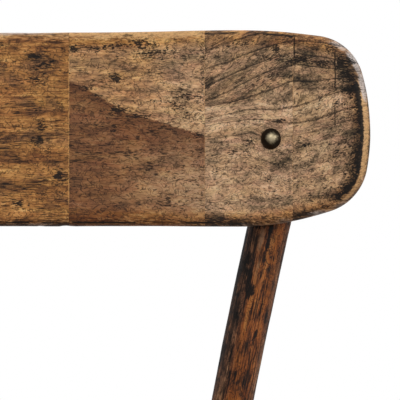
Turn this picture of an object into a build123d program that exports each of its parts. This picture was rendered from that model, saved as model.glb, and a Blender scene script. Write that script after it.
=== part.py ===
"""A wooden chair with a bent, glued-up backrest bolted to two round posts.

The frame: millimetres, +Z up, the floor at Z = 0, the sitter faces -Y and +X is to the right of
someone who stands in front of the chair.
"""

from build123d import *
import os
from math import asin, atan2, cos, radians, sin, sqrt, tan

# Seat
seat_height = 455.0
seat_thickness = 32.0
seat_depth = 404.0
seat_front_width = 424.0
seat_rear_width = 360.0
seat_front_bow = 12.0
seat_rear_bow = 14.0
seat_front_corner = 58.0
seat_rear_corner = 76.0
seat_edge_round = 7.0
seat_seams = (-154.0, -86.0, -24.0, 34.0, 90.0, 156.0)
dish_radius = 142.0
dish_depth = 8.0
dish_middle = 8.0
dish_rim_round = 180.0

# Legs
front_socket_x = 134.0
front_socket_inset = 74.0
rear_socket_x = 128.0
rear_socket_inset = 106.0
front_foot_x = 182.0
rear_foot_x = 176.0
foot_reach = 222.0
leg_foot_diameter = 25.0
leg_belly_diameter = 36.0
leg_shoulder_diameter = 32.0
leg_belly_height = 275.0
leg_tenon_diameter = 24.0

# Stretchers
side_stretcher_height = 168.0
front_stretcher_height = 228.0
rear_stretcher_height = 218.0
stretcher_diameter = 22.0
stretcher_tenon_diameter = 15.0
stretcher_tenon_length = 24.0
stretcher_past_axis = 2.0

# Back posts
post_diameter = 26.6
post_tenon_diameter = 20.0
post_socket_x = 110.5
post_socket_inset = 42.0
post_side_lean = 8.4
post_back_lean = 3.5
post_bend_radius = 2400.0
post_bend_direction = 45.0
post_past_bolt = 44.0
post_end_round = 5.0
post_lap = 2.5

# Backrest plank: its widest level is the zero level of its own frame
back_width = 425.3
back_rise = 65.1
back_drop = 57.3
back_thickness = 22.0
back_bend_radius = 410.0
back_recline = 14.0
back_end_radius = 136.6
back_corner_radius = 32.5
back_top_shoulder_radius = 339.0
back_top_shoulder_turn = 10.5
back_bottom_shoulder_radius = 174.0
back_bottom_shoulder_turn = 19.2
back_front_round = 5.0
back_rear_round = 4.0
back_seams = (-170.0, -118.0, -58.0, 27.2, 112.8, 166.6)
finger_count = 3
finger_depth = 7.0
finger_shoulder = 3.0

# Bolts, washers and cap nuts
bolt_height = 742.0
bolt_below_widest = 3.2
bolt_shank_diameter = 5.0
bolt_neck_width = 5.0
bolt_neck_length = 3.6
bolt_head_diameter = 13.0
bolt_head_rise = 4.0
bolt_head_rim = 0.6
counterbore_diameter = 13.0
counterbore_depth = 6.0
washer_diameter = 11.0
washer_thickness = 1.0
nut_across_flats = 8.0
nut_hex_height = 4.0
nut_dome_diameter = 7.4
nut_dome_rise = 4.0
nut_wall = 1.2

# Wedges
wedge_thickness = 3.2
wedge_tip_thickness = 0.8
wedge_length = 24.0

# Foot glides
glide_diameter = 21.0
glide_thickness = 5.0
glide_edge_round = 1.6
nail_diameter = 2.8
nail_length = 20.0
nail_head_diameter = 8.0
nail_head_thickness = 1.4
nail_head_cover = 1.8

# Clearances
glue_gap = 0.1
bolt_gap = 0.25
lap_gap = 0.1

# Room beyond a face for a cutting solid, and a block that takes in the whole chair
spare = 20.0
room_width = 4 * seat_height


def unit(vector):
    """A vector's direction, of length one."""
    return vector / vector.length


def point_at(axis_plane, distance):
    """The point at a distance along the normal of a plane."""
    return axis_plane.origin + axis_plane.z_dir * distance


def above(shape, height):
    """The part of a shape above a level."""
    room = Box(room_width, room_width, room_width, align=(Align.CENTER, Align.CENTER, Align.MAX))
    return shape - Pos(0, 0, height) * room


def below(shape, height):
    """The part of a shape below a level."""
    room = Box(room_width, room_width, room_width, align=(Align.CENTER, Align.CENTER, Align.MIN))
    return shape - Pos(0, 0, height) * room


def rod(axis_plane, start, end, diameter):
    """A round bar along the normal of a plane, between two distances from it."""
    placed = Plane(point_at(axis_plane, start), x_dir=axis_plane.x_dir, z_dir=axis_plane.z_dir)
    return extrude(placed * Circle(diameter / 2), end - start)


def turned(axis_plane, outline):
    """A turned piece: an outline of edges in the plane's x and z, spun about its z."""
    profile = make_face(outline)
    return axis_plane * revolve(profile, Axis.Z)


# Seat


def seat_blank():
    """The seat before it is cut into staves: bowed edges, round corners and a shallow dish."""
    front = -seat_depth / 2
    rear = seat_depth / 2
    front_left = (-seat_front_width / 2, front + seat_front_bow)
    front_right = (seat_front_width / 2, front + seat_front_bow)
    rear_left = (-seat_rear_width / 2, rear - seat_rear_bow)
    rear_right = (seat_rear_width / 2, rear - seat_rear_bow)
    outline = [
        ThreePointArc(front_left, (0, front), front_right),
        Line(front_right, rear_right),
        ThreePointArc(rear_right, (0, rear), rear_left),
        Line(rear_left, front_left),
    ]
    sketch = Sketch() + make_face(outline)
    sketch = fillet(sketch.vertices().group_by(Axis.Y)[0], seat_front_corner)
    rear_corners = [corner for corner in sketch.vertices() if corner.Y > rear - seat_rear_bow - 1]
    sketch = fillet(rear_corners, seat_rear_corner)
    blank = extrude(Pos(0, 0, seat_height - seat_thickness) * sketch, seat_thickness)
    blank = fillet(blank.edges().group_by(Axis.Z)[-1], seat_edge_round)
    blank = fillet(blank.edges().group_by(Axis.Z)[0], seat_edge_round)
    ball_radius = (dish_radius**2 + dish_depth**2) / (2 * dish_depth)
    ball = Pos(0, dish_middle, seat_height - dish_depth + ball_radius) * Sphere(ball_radius)
    blank = blank - ball
    rim = [
        edge
        for edge in blank.edges().filter_by(GeomType.CIRCLE)
        if abs(edge.radius - dish_radius) < 0.1
    ]
    return fillet(rim, dish_rim_round)


def seat_staves(cutters):
    """The seat's staves from left to right, with the sockets cut out."""
    blank = seat_blank()
    reach = seat_front_width / 2 + spare
    bounds = (-reach,) + seat_seams + (reach,)
    staves = []
    for left, right in zip(bounds[:-1], bounds[1:]):
        width = right - left
        slab = Box(width, seat_depth + 2 * spare, room_width, align=(Align.MIN, Align.CENTER, Align.CENTER))
        stave = blank & (Pos(left, 0, 0) * slab)
        for cutter in cutters:
            stave = stave - cutter
        staves.append(stave)
    return staves


# Legs and stretchers


def leg_axis(socket, foot):
    """The plane at a leg's foot whose normal runs up the middle of the leg."""
    return Plane(foot, x_dir=(1, 0, 0), z_dir=socket - foot)


def distance_at(axis_plane, height):
    """The distance along a leaning axis at which it reaches a level."""
    return (height - axis_plane.origin.Z) / axis_plane.z_dir.Z


def wedge_in(axis_plane, end_distance, inwards, diameter):
    """A wedge across a tenon's end: full thickness at the end, thin at its tip inside."""
    placed = Plane(
        point_at(axis_plane, end_distance), x_dir=axis_plane.x_dir, z_dir=axis_plane.z_dir * -inwards
    )
    half_end = wedge_thickness / 2
    half_tip = wedge_tip_thickness / 2
    tip = -wedge_length
    flare = half_end + (half_end - half_tip) * spare / wedge_length
    side = Polyline(
        (0, -half_tip, tip), (0, half_tip, tip), (0, flare, spare), (0, -flare, spare), close=True
    )
    bar = extrude(make_face(side), diameter / 2 + spare, both=True)
    return placed * bar


def leg(axis_plane):
    """A turned leg with a wedge kerf in its through tenon, and the wedge that fills it."""
    top = distance_at(axis_plane, seat_height)
    shoulder = distance_at(axis_plane, seat_height - seat_thickness)
    belly = distance_at(axis_plane, leg_belly_height)
    start = (leg_foot_diameter / 2, 0, -spare)
    end = (leg_shoulder_diameter / 2, 0, shoulder + spare)
    outline = [
        Line((0, 0, -spare), start),
        Spline(start, (leg_belly_diameter / 2, 0, belly), end),
        Line(end, (0, 0, shoulder + spare)),
        Line((0, 0, shoulder + spare), (0, 0, -spare)),
    ]
    stick = turned(axis_plane, outline)
    stick = below(above(stick, glide_thickness), seat_height - seat_thickness)
    tenon = rod(axis_plane, shoulder - spare, top + spare, leg_tenon_diameter)
    tenon = below(tenon, seat_height)
    wedge_bar = wedge_in(axis_plane, top, -1, leg_tenon_diameter)
    wedge = wedge_bar & tenon
    return (stick + tenon) - wedge_bar, wedge


def stretcher(start_axis, start_height, end_axis, end_height):
    """A swelled rail between two legs, and the sockets that take its two tenons."""
    start = point_at(start_axis, distance_at(start_axis, start_height))
    end = point_at(end_axis, distance_at(end_axis, end_height))
    along = unit(end - start)
    length = (end - start).length + 2 * stretcher_past_axis
    rail_axis = Plane(start - along * stretcher_past_axis, z_dir=along)
    tenon = stretcher_tenon_diameter / 2
    near = stretcher_tenon_length
    far = length - stretcher_tenon_length
    outline = [
        Line((0, 0, 0), (tenon, 0, 0)),
        Line((tenon, 0, 0), (tenon, 0, near)),
        Spline(
            (tenon, 0, near),
            (stretcher_diameter / 2, 0, length / 2),
            (tenon, 0, far),
            tangents=[(0, 0, 1), (0, 0, 1)],
        ),
        Line((tenon, 0, far), (tenon, 0, length)),
        Line((tenon, 0, length), (0, 0, length)),
        Line((0, 0, length), (0, 0, 0)),
    ]
    hole = stretcher_tenon_diameter + 2 * glue_gap
    sockets = rod(rail_axis, 0, near, hole), rod(rail_axis, far, length, hole)
    return turned(rail_axis, outline), sockets


# Foot glides


def glide_at(axis_plane):
    """A round glide under a leg and the nail moulded into it."""
    top = point_at(axis_plane, distance_at(axis_plane, glide_thickness))
    base = Pos(top.X, top.Y, 0)
    disc = base * Cylinder(glide_diameter / 2, glide_thickness, align=(Align.CENTER, Align.CENTER, Align.MIN))
    disc = fillet(disc.edges().group_by(Axis.Z)[0], glide_edge_round)
    upright = (Align.CENTER, Align.CENTER, Align.MIN)
    head = Pos(0, 0, nail_head_cover) * Cylinder(nail_head_diameter / 2, nail_head_thickness, align=upright)
    shank = Pos(0, 0, nail_head_cover) * Cylinder(nail_diameter / 2, nail_length, align=upright)
    nail = base * (head + shank)
    return disc - nail, nail


# Back posts


def post_frame(side):
    """Where a post leaves the seat: its foot, its direction there and the direction it bends in."""
    foot = Vector(side * post_socket_x, seat_depth / 2 - post_socket_inset, seat_height)
    rise = unit(Vector(side * tan(radians(post_side_lean)), tan(radians(post_back_lean)), 1))
    aim = Vector(side * cos(radians(post_bend_direction)), sin(radians(post_bend_direction)), 0)
    bend = unit(aim - rise * aim.dot(rise))
    return foot, rise, bend


def post_point(side, turn):
    """A point on a post's curved axis, at an angle of bend above the seat."""
    foot, rise, bend = post_frame(side)
    return foot + (rise * sin(turn) + bend * (1 - cos(turn))) * post_bend_radius


def post_turn_at(side, height):
    """The angle of bend at which a post's axis reaches a level."""
    foot, rise, bend = post_frame(side)
    swing = sqrt(rise.Z**2 + bend.Z**2)
    lag = atan2(bend.Z, rise.Z)
    return lag + asin(((height - foot.Z) / post_bend_radius - bend.Z) / swing)


def post(side, lap):
    """A bent round post with a wedged tenon and the lap that the plank lies in."""
    foot, rise, bend = post_frame(side)
    start = -2 * spare / post_bend_radius
    end = post_turn_at(side, bolt_height) + post_past_bolt / post_bend_radius
    path = ThreePointArc(*[post_point(side, turn) for turn in (start, (start + end) / 2, end)])
    stick = sweep(Plane(path @ 0, z_dir=path % 0) * Circle(post_diameter / 2), path)
    stick = above(stick, seat_height)
    stick = fillet(stick.edges().sort_by(Axis.Z)[-1], post_end_round) - lap
    socket_axis = Plane(foot, x_dir=(1, 0, 0), z_dir=rise)
    bottom = distance_at(socket_axis, seat_height - seat_thickness)
    tenon = rod(socket_axis, bottom - spare, spare, post_tenon_diameter)
    tenon = above(tenon, seat_height - seat_thickness)
    wedge_bar = wedge_in(socket_axis, bottom, 1, post_tenon_diameter)
    wedge = wedge_bar & tenon
    socket = rod(socket_axis, bottom - spare, spare, post_tenon_diameter + 2 * glue_gap)
    return (stick + tenon) - wedge_bar, wedge, below(socket, seat_height + spare / 2)


# Backrest plank


def back_location():
    """Where the plank's own frame stands, so that its back face meets both posts at the bolts."""
    bolt = post_point(1, post_turn_at(1, bolt_height))
    ring = back_bend_radius + back_thickness + post_diameter / 2 - post_lap
    depth = sqrt(ring**2 - bolt.X**2) - back_bend_radius
    lean = radians(back_recline)
    middle_y = bolt.Y - depth * cos(lean) + bolt_below_widest * sin(lean)
    middle_z = bolt.Z + depth * sin(lean) + bolt_below_widest * cos(lean)
    return Pos(0, middle_y, middle_z) * Rot(-back_recline, 0, 0)


def quarter_arcs(side, way, rise, shoulder_radius, shoulder_turn):
    """The end, corner and shoulder arcs of a quarter of the outline, from its widest point inwards."""
    last = radians(90)
    second = last - radians(shoulder_turn)
    shoulder_rise = shoulder_radius * (1 - sin(second))
    left_over = rise - shoulder_rise - back_corner_radius * sin(second)
    first = asin(left_over / (back_end_radius - back_corner_radius))
    arcs = []
    x = back_width / 2
    z = 0
    turns = (0, first, second, last)
    radii = (back_end_radius, back_corner_radius, shoulder_radius)
    for radius, begin, end in zip(radii, turns[:-1], turns[1:]):
        points = []
        for turn in (begin, (begin + end) / 2, end):
            inwards = radius * (cos(begin) - cos(turn))
            upwards = radius * (sin(turn) - sin(begin))
            points.append((side * (x - inwards), 0, way * (z + upwards)))
        arcs.append(ThreePointArc(*points))
        x -= radius * (cos(begin) - cos(end))
        z += radius * (sin(end) - sin(begin))
    return arcs, (side * x, 0, way * z)


def back_outline():
    """The plank's outline seen square from the front."""
    top = (1, back_rise, back_top_shoulder_radius, back_top_shoulder_turn)
    bottom = (-1, back_drop, back_bottom_shoulder_radius, back_bottom_shoulder_turn)
    edges = []
    for way in (top, bottom):
        right_arcs, right_end = quarter_arcs(1, *way)
        left_arcs, left_end = quarter_arcs(-1, *way)
        edges += right_arcs + left_arcs + [Line(right_end, left_end)]
    return make_face(edges)


def back_blank():
    """The plank before its staves are parted: a round-edged outline cut from a bent slab."""
    height = back_rise + back_drop + 2 * spare
    outer = Cylinder(back_bend_radius + back_thickness, height)
    inner = Cylinder(back_bend_radius, height)
    slab = Pos(0, -back_bend_radius, 0) * (outer - inner)
    blank = extrude(back_outline(), back_width / 2, both=True) & slab
    faces = blank.faces().sort_by(SortBy.AREA)[-2:].sort_by(Axis.Y)
    front_edges = faces[0].edges()
    blank = fillet(front_edges, back_front_round)
    faces = blank.faces().sort_by(SortBy.AREA)[-2:].sort_by(Axis.Y)
    return fillet(faces[1].edges(), back_rear_round)


def depth_on(radius, x):
    """How far behind the plank's middle a bend of a given radius lies, at a distance sideways."""
    return sqrt(radius**2 - x**2) - back_bend_radius


def finger_line(seam):
    """A seam in plan, front to back: a square shoulder at each face and fingers between them."""
    front = depth_on(back_bend_radius, seam)
    rear = depth_on(back_bend_radius + back_thickness, seam)
    first = front + finger_shoulder
    last = rear - finger_shoulder
    points = [(seam, front - spare), (seam, first)]
    steps = 2 * finger_count
    for step in range(steps):
        swing = finger_depth / 2 if step % 2 == 0 else -finger_depth / 2
        points.append((seam + swing, first + (step + 0.5) * (last - first) / steps))
    points += [(seam, last), (seam, rear + spare)]
    return points


def plain_line(x):
    """A straight line in plan, front to back, past an end of the plank."""
    return [(x, -back_width / 2), (x, back_thickness + spare)]


def back_staves(cutters):
    """The plank's staves from left to right, in the plank's own frame."""
    blank = back_blank()
    height = 2 * (back_rise + back_drop)
    reach = back_width / 2 + spare
    lines = [plain_line(-reach)] + [finger_line(seam) for seam in back_seams] + [plain_line(reach)]
    staves = []
    for left, right in zip(lines[:-1], lines[1:]):
        plan = make_face(Polyline(*left, *reversed(right), close=True))
        stave = blank & (Pos(0, 0, -height / 2) * extrude(plan, height))
        for cutter in cutters:
            stave = stave - cutter
        staves.append(stave)
    return staves


def lap_cutter(location):
    """What the plank's back takes out of a post, from the plank's lower edge upwards."""
    height = back_drop + back_rise + 2 * spare
    radius = back_bend_radius + back_thickness + lap_gap
    standing = (Align.CENTER, Align.CENTER, Align.MIN)
    return location * Pos(0, -back_bend_radius, -back_drop) * Cylinder(radius, height, align=standing)


# Bolts, washers and cap nuts


def bolt_axis(side, location):
    """The plane where a bolt's head sits on the hollow front, whose normal runs back through the post."""
    bolt = post_point(side, post_turn_at(side, bolt_height))
    local = location.inverse() * Pos(*bolt)
    x, y, z = local.position
    radial = unit(Vector(x, y + back_bend_radius, 0))
    head_seat = sqrt(back_bend_radius**2 - (bolt_head_diameter / 2) ** 2)
    face_point = Vector(0, -back_bend_radius, z) + radial * head_seat
    local_plane = Plane(face_point, x_dir=(radial.Y, -radial.X, 0), z_dir=radial)
    return Plane(location * local_plane.location)


def bolt_set(axis_plane):
    """A domed bolt, its washer and its cap nut, and the holes that they need."""
    post_rear = back_thickness + post_diameter - post_lap
    seat_level = post_rear - counterbore_depth
    nut_start = seat_level + washer_thickness
    thread_end = nut_start + nut_hex_height
    radius = bolt_head_diameter / 2
    dome_foot = (radius, 0, -bolt_head_rim)
    dome_top = (0, 0, -bolt_head_rise)
    ball = (radius**2 + (bolt_head_rise - bolt_head_rim) ** 2) / (2 * (bolt_head_rise - bolt_head_rim))
    middle = asin(radius / ball) / 2
    dome_middle = (ball * sin(middle), 0, ball - ball * cos(middle) - bolt_head_rise)
    head = turned(
        axis_plane,
        [
            Line((0, 0, 0), (radius, 0, 0)),
            Line((radius, 0, 0), dome_foot),
            ThreePointArc(dome_foot, dome_middle, dome_top),
            Line(dome_top, (0, 0, 0)),
        ],
    )
    neck = extrude(axis_plane * Rectangle(bolt_neck_width, bolt_neck_width), bolt_neck_length)
    bolt = head + neck + rod(axis_plane, 0, thread_end, bolt_shank_diameter)

    hole = bolt_shank_diameter + 2 * bolt_gap
    washer = rod(axis_plane, seat_level, nut_start, washer_diameter)
    washer = washer - rod(axis_plane, seat_level - spare, nut_start + spare, hole)

    nut_plane = Plane(point_at(axis_plane, nut_start), x_dir=axis_plane.x_dir, z_dir=axis_plane.z_dir)
    hexagon = nut_plane * RegularPolygon(nut_across_flats / 2, 6, major_radius=False)
    nut = extrude(hexagon, nut_hex_height)
    dome_radius = nut_dome_diameter / 2
    high = nut_hex_height + nut_dome_rise
    shoulder = (dome_radius, 0, high - dome_radius)
    crown = (dome_radius * sin(radians(45)), 0, high - dome_radius + dome_radius * cos(radians(45)))
    dome = turned(
        nut_plane,
        [
            Line((0, 0, nut_wall), (dome_radius, 0, nut_wall)),
            Line((dome_radius, 0, nut_wall), shoulder),
            ThreePointArc(shoulder, crown, (0, 0, high)),
            Line((0, 0, high), (0, 0, nut_wall)),
        ],
    )
    nut = nut + dome - rod(nut_plane, -spare, nut_hex_height, bolt_shank_diameter)

    neck_size = bolt_neck_width + 2 * bolt_gap
    neck_hole = extrude(axis_plane * Rectangle(neck_size, neck_size), bolt_neck_length + bolt_gap)
    plank_holes = neck_hole + rod(axis_plane, -spare, thread_end, hole)
    post_holes = rod(axis_plane, 0, post_rear + spare, hole)
    post_holes = post_holes + rod(axis_plane, seat_level, post_rear + spare, counterbore_diameter)
    return bolt, washer, nut, plank_holes, post_holes


def write(name, *solids):
    """One file for one node, with each piece as a solid of its own."""
    pieces = [solid for shape in solids for solid in shape.solids()]
    shape = pieces[0] if len(pieces) == 1 else Compound(children=pieces)
    shape.label = name
    export_step(shape, os.path.join("parts", name + ".step"))


def main():
    os.makedirs("parts", exist_ok=True)
    sides = {"left": -1, "right": 1}
    location = back_location()
    lap = lap_cutter(location)

    bolts, washers, nuts, plank_holes = [], [], [], []
    post_wedges = []
    seat_cutters = []
    for name, side in sides.items():
        bolt, washer, nut, plank_hole, post_hole = bolt_set(bolt_axis(side, location))
        stick, wedge, socket = post(side, lap)
        write("back_post_" + name, stick - post_hole)
        bolts.append(bolt)
        washers.append(washer)
        nuts.append(nut)
        plank_holes.append(location.inverse() * plank_hole)
        post_wedges.append(wedge)
        seat_cutters.append(socket)
    for number, stave in enumerate(back_staves(plank_holes), start=1):
        write("back_stave_%d" % number, location * stave)
    write("dome_bolts", *bolts)
    write("bolt_washers", *washers)
    write("cap_nuts", *nuts)
    write("post_wedges", *post_wedges)

    axes = {}
    for name, side in sides.items():
        front_socket = Vector(side * front_socket_x, front_socket_inset - seat_depth / 2, seat_height)
        rear_socket = Vector(side * rear_socket_x, seat_depth / 2 - rear_socket_inset, seat_height)
        axes["front", name] = leg_axis(front_socket, Vector(side * front_foot_x, -foot_reach, 0))
        axes["rear", name] = leg_axis(rear_socket, Vector(side * rear_foot_x, foot_reach, 0))
    rails = {
        "stretcher_left": (("front", "left"), ("rear", "left"), side_stretcher_height),
        "stretcher_right": (("front", "right"), ("rear", "right"), side_stretcher_height),
        "stretcher_front": (("front", "left"), ("front", "right"), front_stretcher_height),
        "stretcher_rear": (("rear", "left"), ("rear", "right"), rear_stretcher_height),
    }
    leg_cutters = {key: [] for key in axes}
    for name, (start, end, height) in rails.items():
        rail, (start_socket, end_socket) = stretcher(axes[start], height, axes[end], height)
        leg_cutters[start].append(start_socket)
        leg_cutters[end].append(end_socket)
        write(name, rail)

    leg_wedges, glides, nails = [], [], []
    for key, axis_plane in axes.items():
        stick, wedge = leg(axis_plane)
        glide, nail = glide_at(axis_plane)
        for cutter in leg_cutters[key]:
            stick = stick - cutter
        write("%s_leg_%s" % key, stick - nail)
        leg_wedges.append(wedge)
        glides.append(glide)
        nails.append(nail)
        shoulder = distance_at(axis_plane, seat_height - seat_thickness)
        top = distance_at(axis_plane, seat_height)
        seat_cutters.append(rod(axis_plane, shoulder - spare, top + spare, leg_tenon_diameter + 2 * glue_gap))
    write("leg_wedges", *leg_wedges)
    write("foot_glides", *glides)
    write("glide_nails", *nails)

    for number, stave in enumerate(seat_staves(seat_cutters), start=1):
        write("seat_stave_%d" % number, stave)


main()
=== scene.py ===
# %% [markdown]
# # A wooden chair with a bolted, bent backrest
# The construction is fixed: every piece stands where the packed model has it. This lesson gives the
# chair its looks. The photograph is a close view of the right half of the backrest, so the plank, the
# post behind it and the domed bolt get the most care, and the rest follows in the same woods.

# %% Load the packed chair
import math
from contextlib import contextmanager

import bmesh
import bpy
import numpy as np
from mathutils import Matrix, Vector, kdtree, noise


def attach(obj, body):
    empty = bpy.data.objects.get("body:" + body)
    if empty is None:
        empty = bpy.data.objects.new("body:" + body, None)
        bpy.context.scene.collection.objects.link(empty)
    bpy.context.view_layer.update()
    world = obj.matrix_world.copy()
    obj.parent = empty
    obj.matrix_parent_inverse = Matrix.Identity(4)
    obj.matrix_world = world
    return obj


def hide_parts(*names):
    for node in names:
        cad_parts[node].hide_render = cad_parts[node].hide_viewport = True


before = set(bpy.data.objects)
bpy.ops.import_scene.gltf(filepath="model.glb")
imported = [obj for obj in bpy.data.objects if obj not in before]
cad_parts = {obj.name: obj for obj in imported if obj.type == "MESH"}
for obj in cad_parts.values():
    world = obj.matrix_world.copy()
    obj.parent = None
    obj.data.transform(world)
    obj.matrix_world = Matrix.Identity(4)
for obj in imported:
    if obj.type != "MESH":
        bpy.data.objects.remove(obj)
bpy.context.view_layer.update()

# %% [markdown]
# ## Where the backrest stands
# Lengths are in millimetres until a mesh is made. Each post is a gentle arc that leaves the seat
# leaning outwards and back. The plank is a slice of a pipe wall, bent about an upright axis in front
# of it and then reclined, and it is placed so that its back meets both posts at the bolts. Its own
# frame has x to the right, y into the plank and z up, with zero at its widest level.

# %% The post's middle line and the plank's own frame
MM = 0.001
SEAT_TOP = 455.0
SEAT_THICKNESS = 32.0
SEAT_UNDERSIDE = SEAT_TOP - SEAT_THICKNESS
POST_RADIUS = 13.3
POST_FOOT = np.array([110.5, 160.0, SEAT_TOP])
POST_SIDE_LEAN = math.radians(8.4)
POST_BACK_LEAN = math.radians(3.5)
POST_BEND = 2400.0
POST_LAP = 2.5
POST_PAST_BOLT = 44.0
BOLT_HEIGHT = 742.0
BOLT_BELOW_WIDEST = 3.2
PLANK_BEND = 410.0
PLANK_THICKNESS = 22.0
RECLINE = math.radians(14.0)
SIDES = (("left", -1), ("right", 1))


def unit(vector):
    return vector / np.linalg.norm(vector)


post_rise = unit(np.array([math.tan(POST_SIDE_LEAN), math.tan(POST_BACK_LEAN), 1.0]))
post_aim = np.array([1.0, 1.0, 0.0]) / math.sqrt(2)
post_bend = unit(post_aim - post_rise * post_aim.dot(post_rise))


def post_turn(height):
    """The angle of bend at which the right post's middle line reaches a height."""
    swing = math.hypot(post_rise[2], post_bend[2])
    lag = math.atan2(post_bend[2], post_rise[2])
    return lag + np.arcsin(((height - SEAT_TOP) / POST_BEND - post_bend[2]) / swing)


def post_middle(turn):
    """A point of the right post's middle line."""
    return POST_FOOT + (post_rise * math.sin(turn) + post_bend * (1 - math.cos(turn))) * POST_BEND


bolt_point = post_middle(post_turn(BOLT_HEIGHT))
bolt_ring = PLANK_BEND + PLANK_THICKNESS + POST_RADIUS - POST_LAP
bolt_depth = math.sqrt(bolt_ring**2 - bolt_point[0] ** 2) - PLANK_BEND
plank_axes = np.array(
    [
        [1.0, 0.0, 0.0],
        [0.0, math.cos(RECLINE), -math.sin(RECLINE)],
        [0.0, math.sin(RECLINE), math.cos(RECLINE)],
    ]
)
plank_origin = bolt_point * [0, 1, 1] - bolt_depth * plank_axes[1] + BOLT_BELOW_WIDEST * plank_axes[2]


def from_plank(points):
    return plank_origin + np.asarray(points) @ plank_axes


def to_plank(points):
    """The same places in the plank's own frame."""
    return (np.asarray(points) - plank_origin) @ plank_axes.T


print("plank stands at", np.round(plank_origin, 1))

# %% [markdown]
# ## The camera
# The photograph looks square at the plank, from a little over a metre away. One of its pixels is 0.63
# mm on the plank, which a domed bolt head of 13 mm gives. The picture's middle is right of the plank's
# middle and below it.

# %% Camera
PICTURE_SIDE = 400
PIXEL = 0.63
VIEW_DISTANCE = 1200.0
AIM = np.array([109.8, 0.0, -40.75])
SENSOR = 36.0
BOLT_SEEN = (270, 138.5)
SETTLING_ROUNDS = 4

camera_data = bpy.data.cameras.new("camera")
camera_data.sensor_width = SENSOR
camera_data.lens = SENSOR * VIEW_DISTANCE / (PICTURE_SIDE * PIXEL)
camera_data.clip_start = 0.05
camera = bpy.data.objects.new("camera", camera_data)
bpy.context.scene.collection.objects.link(camera)
camera_place = Matrix(np.column_stack([plank_axes[0], plank_axes[2], -plank_axes[1]]).tolist()).to_4x4()
camera_place.translation = from_plank(AIM - [0, VIEW_DISTANCE, 0]) * MM
camera.matrix_world = camera_place
bpy.context.scene.camera = camera


def plank_face(x):
    """How deep the plank's front lies behind its middle, at a distance to the side."""
    return np.sqrt(PLANK_BEND**2 - np.square(x)) - PLANK_BEND


def seen_at(picture_x, picture_y, behind=0.0):
    """The place on the plank's front, or behind it, as x and z, of a point of the picture."""
    half = PICTURE_SIDE / 2
    x = AIM[0]
    for settling in range(SETTLING_ROUNDS):
        size = PIXEL * (1 + (plank_face(x) + behind) / VIEW_DISTANCE)
        x = AIM[0] + (picture_x - half) * size
    return x, AIM[2] + (half - picture_y) * size


def seen_x(picture_x):
    """How far from the plank's middle an upright line of the picture meets its front."""
    return seen_at(picture_x, PICTURE_SIDE / 2)[0]


print("lens %.0f mm, bolt seen at %s" % (camera_data.lens, np.round(seen_at(*BOLT_SEEN), 1)))

# %% [markdown]
# ## Light
# A white studio: the background is plain white. Softer light comes from all round, more of it from
# above than from below, so the lower edge of the plank lies in half shade and the upper one shines. A
# panel beside the camera puts a soft spot on the bolt's dome. A panorama of a real room could light the
# chair as well, but a plain gradient and a few panels are easier to move, and need no file.

# %% Studio
SKY_LIGHT = 0.48
GROUND_LIGHT = 0.14
PANEL_FROM_CAMERA = (0.75, 0.1, 0.35)
CHAIR_MIDDLE = (0, 0, 0.5)


def make_world():
    world = bpy.data.worlds.new("studio")
    bpy.context.scene.world = world
    world.use_nodes = True
    tree = world.node_tree
    tree.nodes.clear()
    rays = tree.nodes.new("ShaderNodeLightPath")
    way = tree.nodes.new("ShaderNodeTexCoord")
    upward = tree.nodes.new("ShaderNodeSeparateXYZ")
    strength = tree.nodes.new("ShaderNodeMapRange")
    seen = tree.nodes.new("ShaderNodeBackground")
    room = tree.nodes.new("ShaderNodeBackground")
    mix = tree.nodes.new("ShaderNodeMixShader")
    out = tree.nodes.new("ShaderNodeOutputWorld")
    seen.inputs["Color"].default_value = (1, 1, 1, 1)
    room.inputs["Color"].default_value = (0.98, 0.98, 1.0, 1)
    strength.inputs["From Min"].default_value = -0.7
    strength.inputs["From Max"].default_value = 0.7
    strength.inputs["To Min"].default_value = GROUND_LIGHT
    strength.inputs["To Max"].default_value = SKY_LIGHT
    tree.links.new(way.outputs["Generated"], upward.inputs[0])
    tree.links.new(upward.outputs["Z"], strength.inputs["Value"])
    tree.links.new(strength.outputs[0], room.inputs["Strength"])
    tree.links.new(rays.outputs["Is Camera Ray"], mix.inputs[0])
    tree.links.new(room.outputs[0], mix.inputs[1])
    tree.links.new(seen.outputs[0], mix.inputs[2])
    tree.links.new(mix.outputs[0], out.inputs[0])


def add_panel(name, place, target, size, power):
    """A soft square panel of light that faces a point."""
    data = bpy.data.lights.new(name, "AREA")
    data.size = size
    data.energy = power
    panel = bpy.data.objects.new(name, data)
    bpy.context.scene.collection.objects.link(panel)
    panel.location = place
    panel.rotation_euler = (Vector(target) - Vector(place)).to_track_quat("-Z", "Y").to_euler()


make_world()
backrest_middle = tuple(plank_origin * MM)
beside_camera = tuple(camera_place.translation + Vector(PANEL_FROM_CAMERA))
# Name, place and target, side in metres, power in watts
panels = (
    ("panel_front", beside_camera, backrest_middle, 0.45, 8.5),
    ("panel_above", (-0.7, -0.9, 2.4), backrest_middle, 1.0, 9),
    ("panel_behind", (-0.9, 2.0, 1.5), CHAIR_MIDDLE, 1.2, 14),
    ("panel_rim", (1.0, 0.9, 1.8), backrest_middle, 0.7, 9),
)
for panel in panels:
    add_panel(*panel)
bpy.context.scene.view_settings.view_transform = "Standard"
bpy.context.scene.view_settings.look = "None"
print("studio lights:", [light.name for light in bpy.data.lights])

# %% [markdown]
# ## A small language for shaders
# Node trees are hard to read as lists of links. One class wraps a socket and takes part in sums, so a
# finish reads as a formula. Its method `add` makes any node: the type, its settings, then its inputs.
# The same class builds the geometry trees further down.


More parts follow.
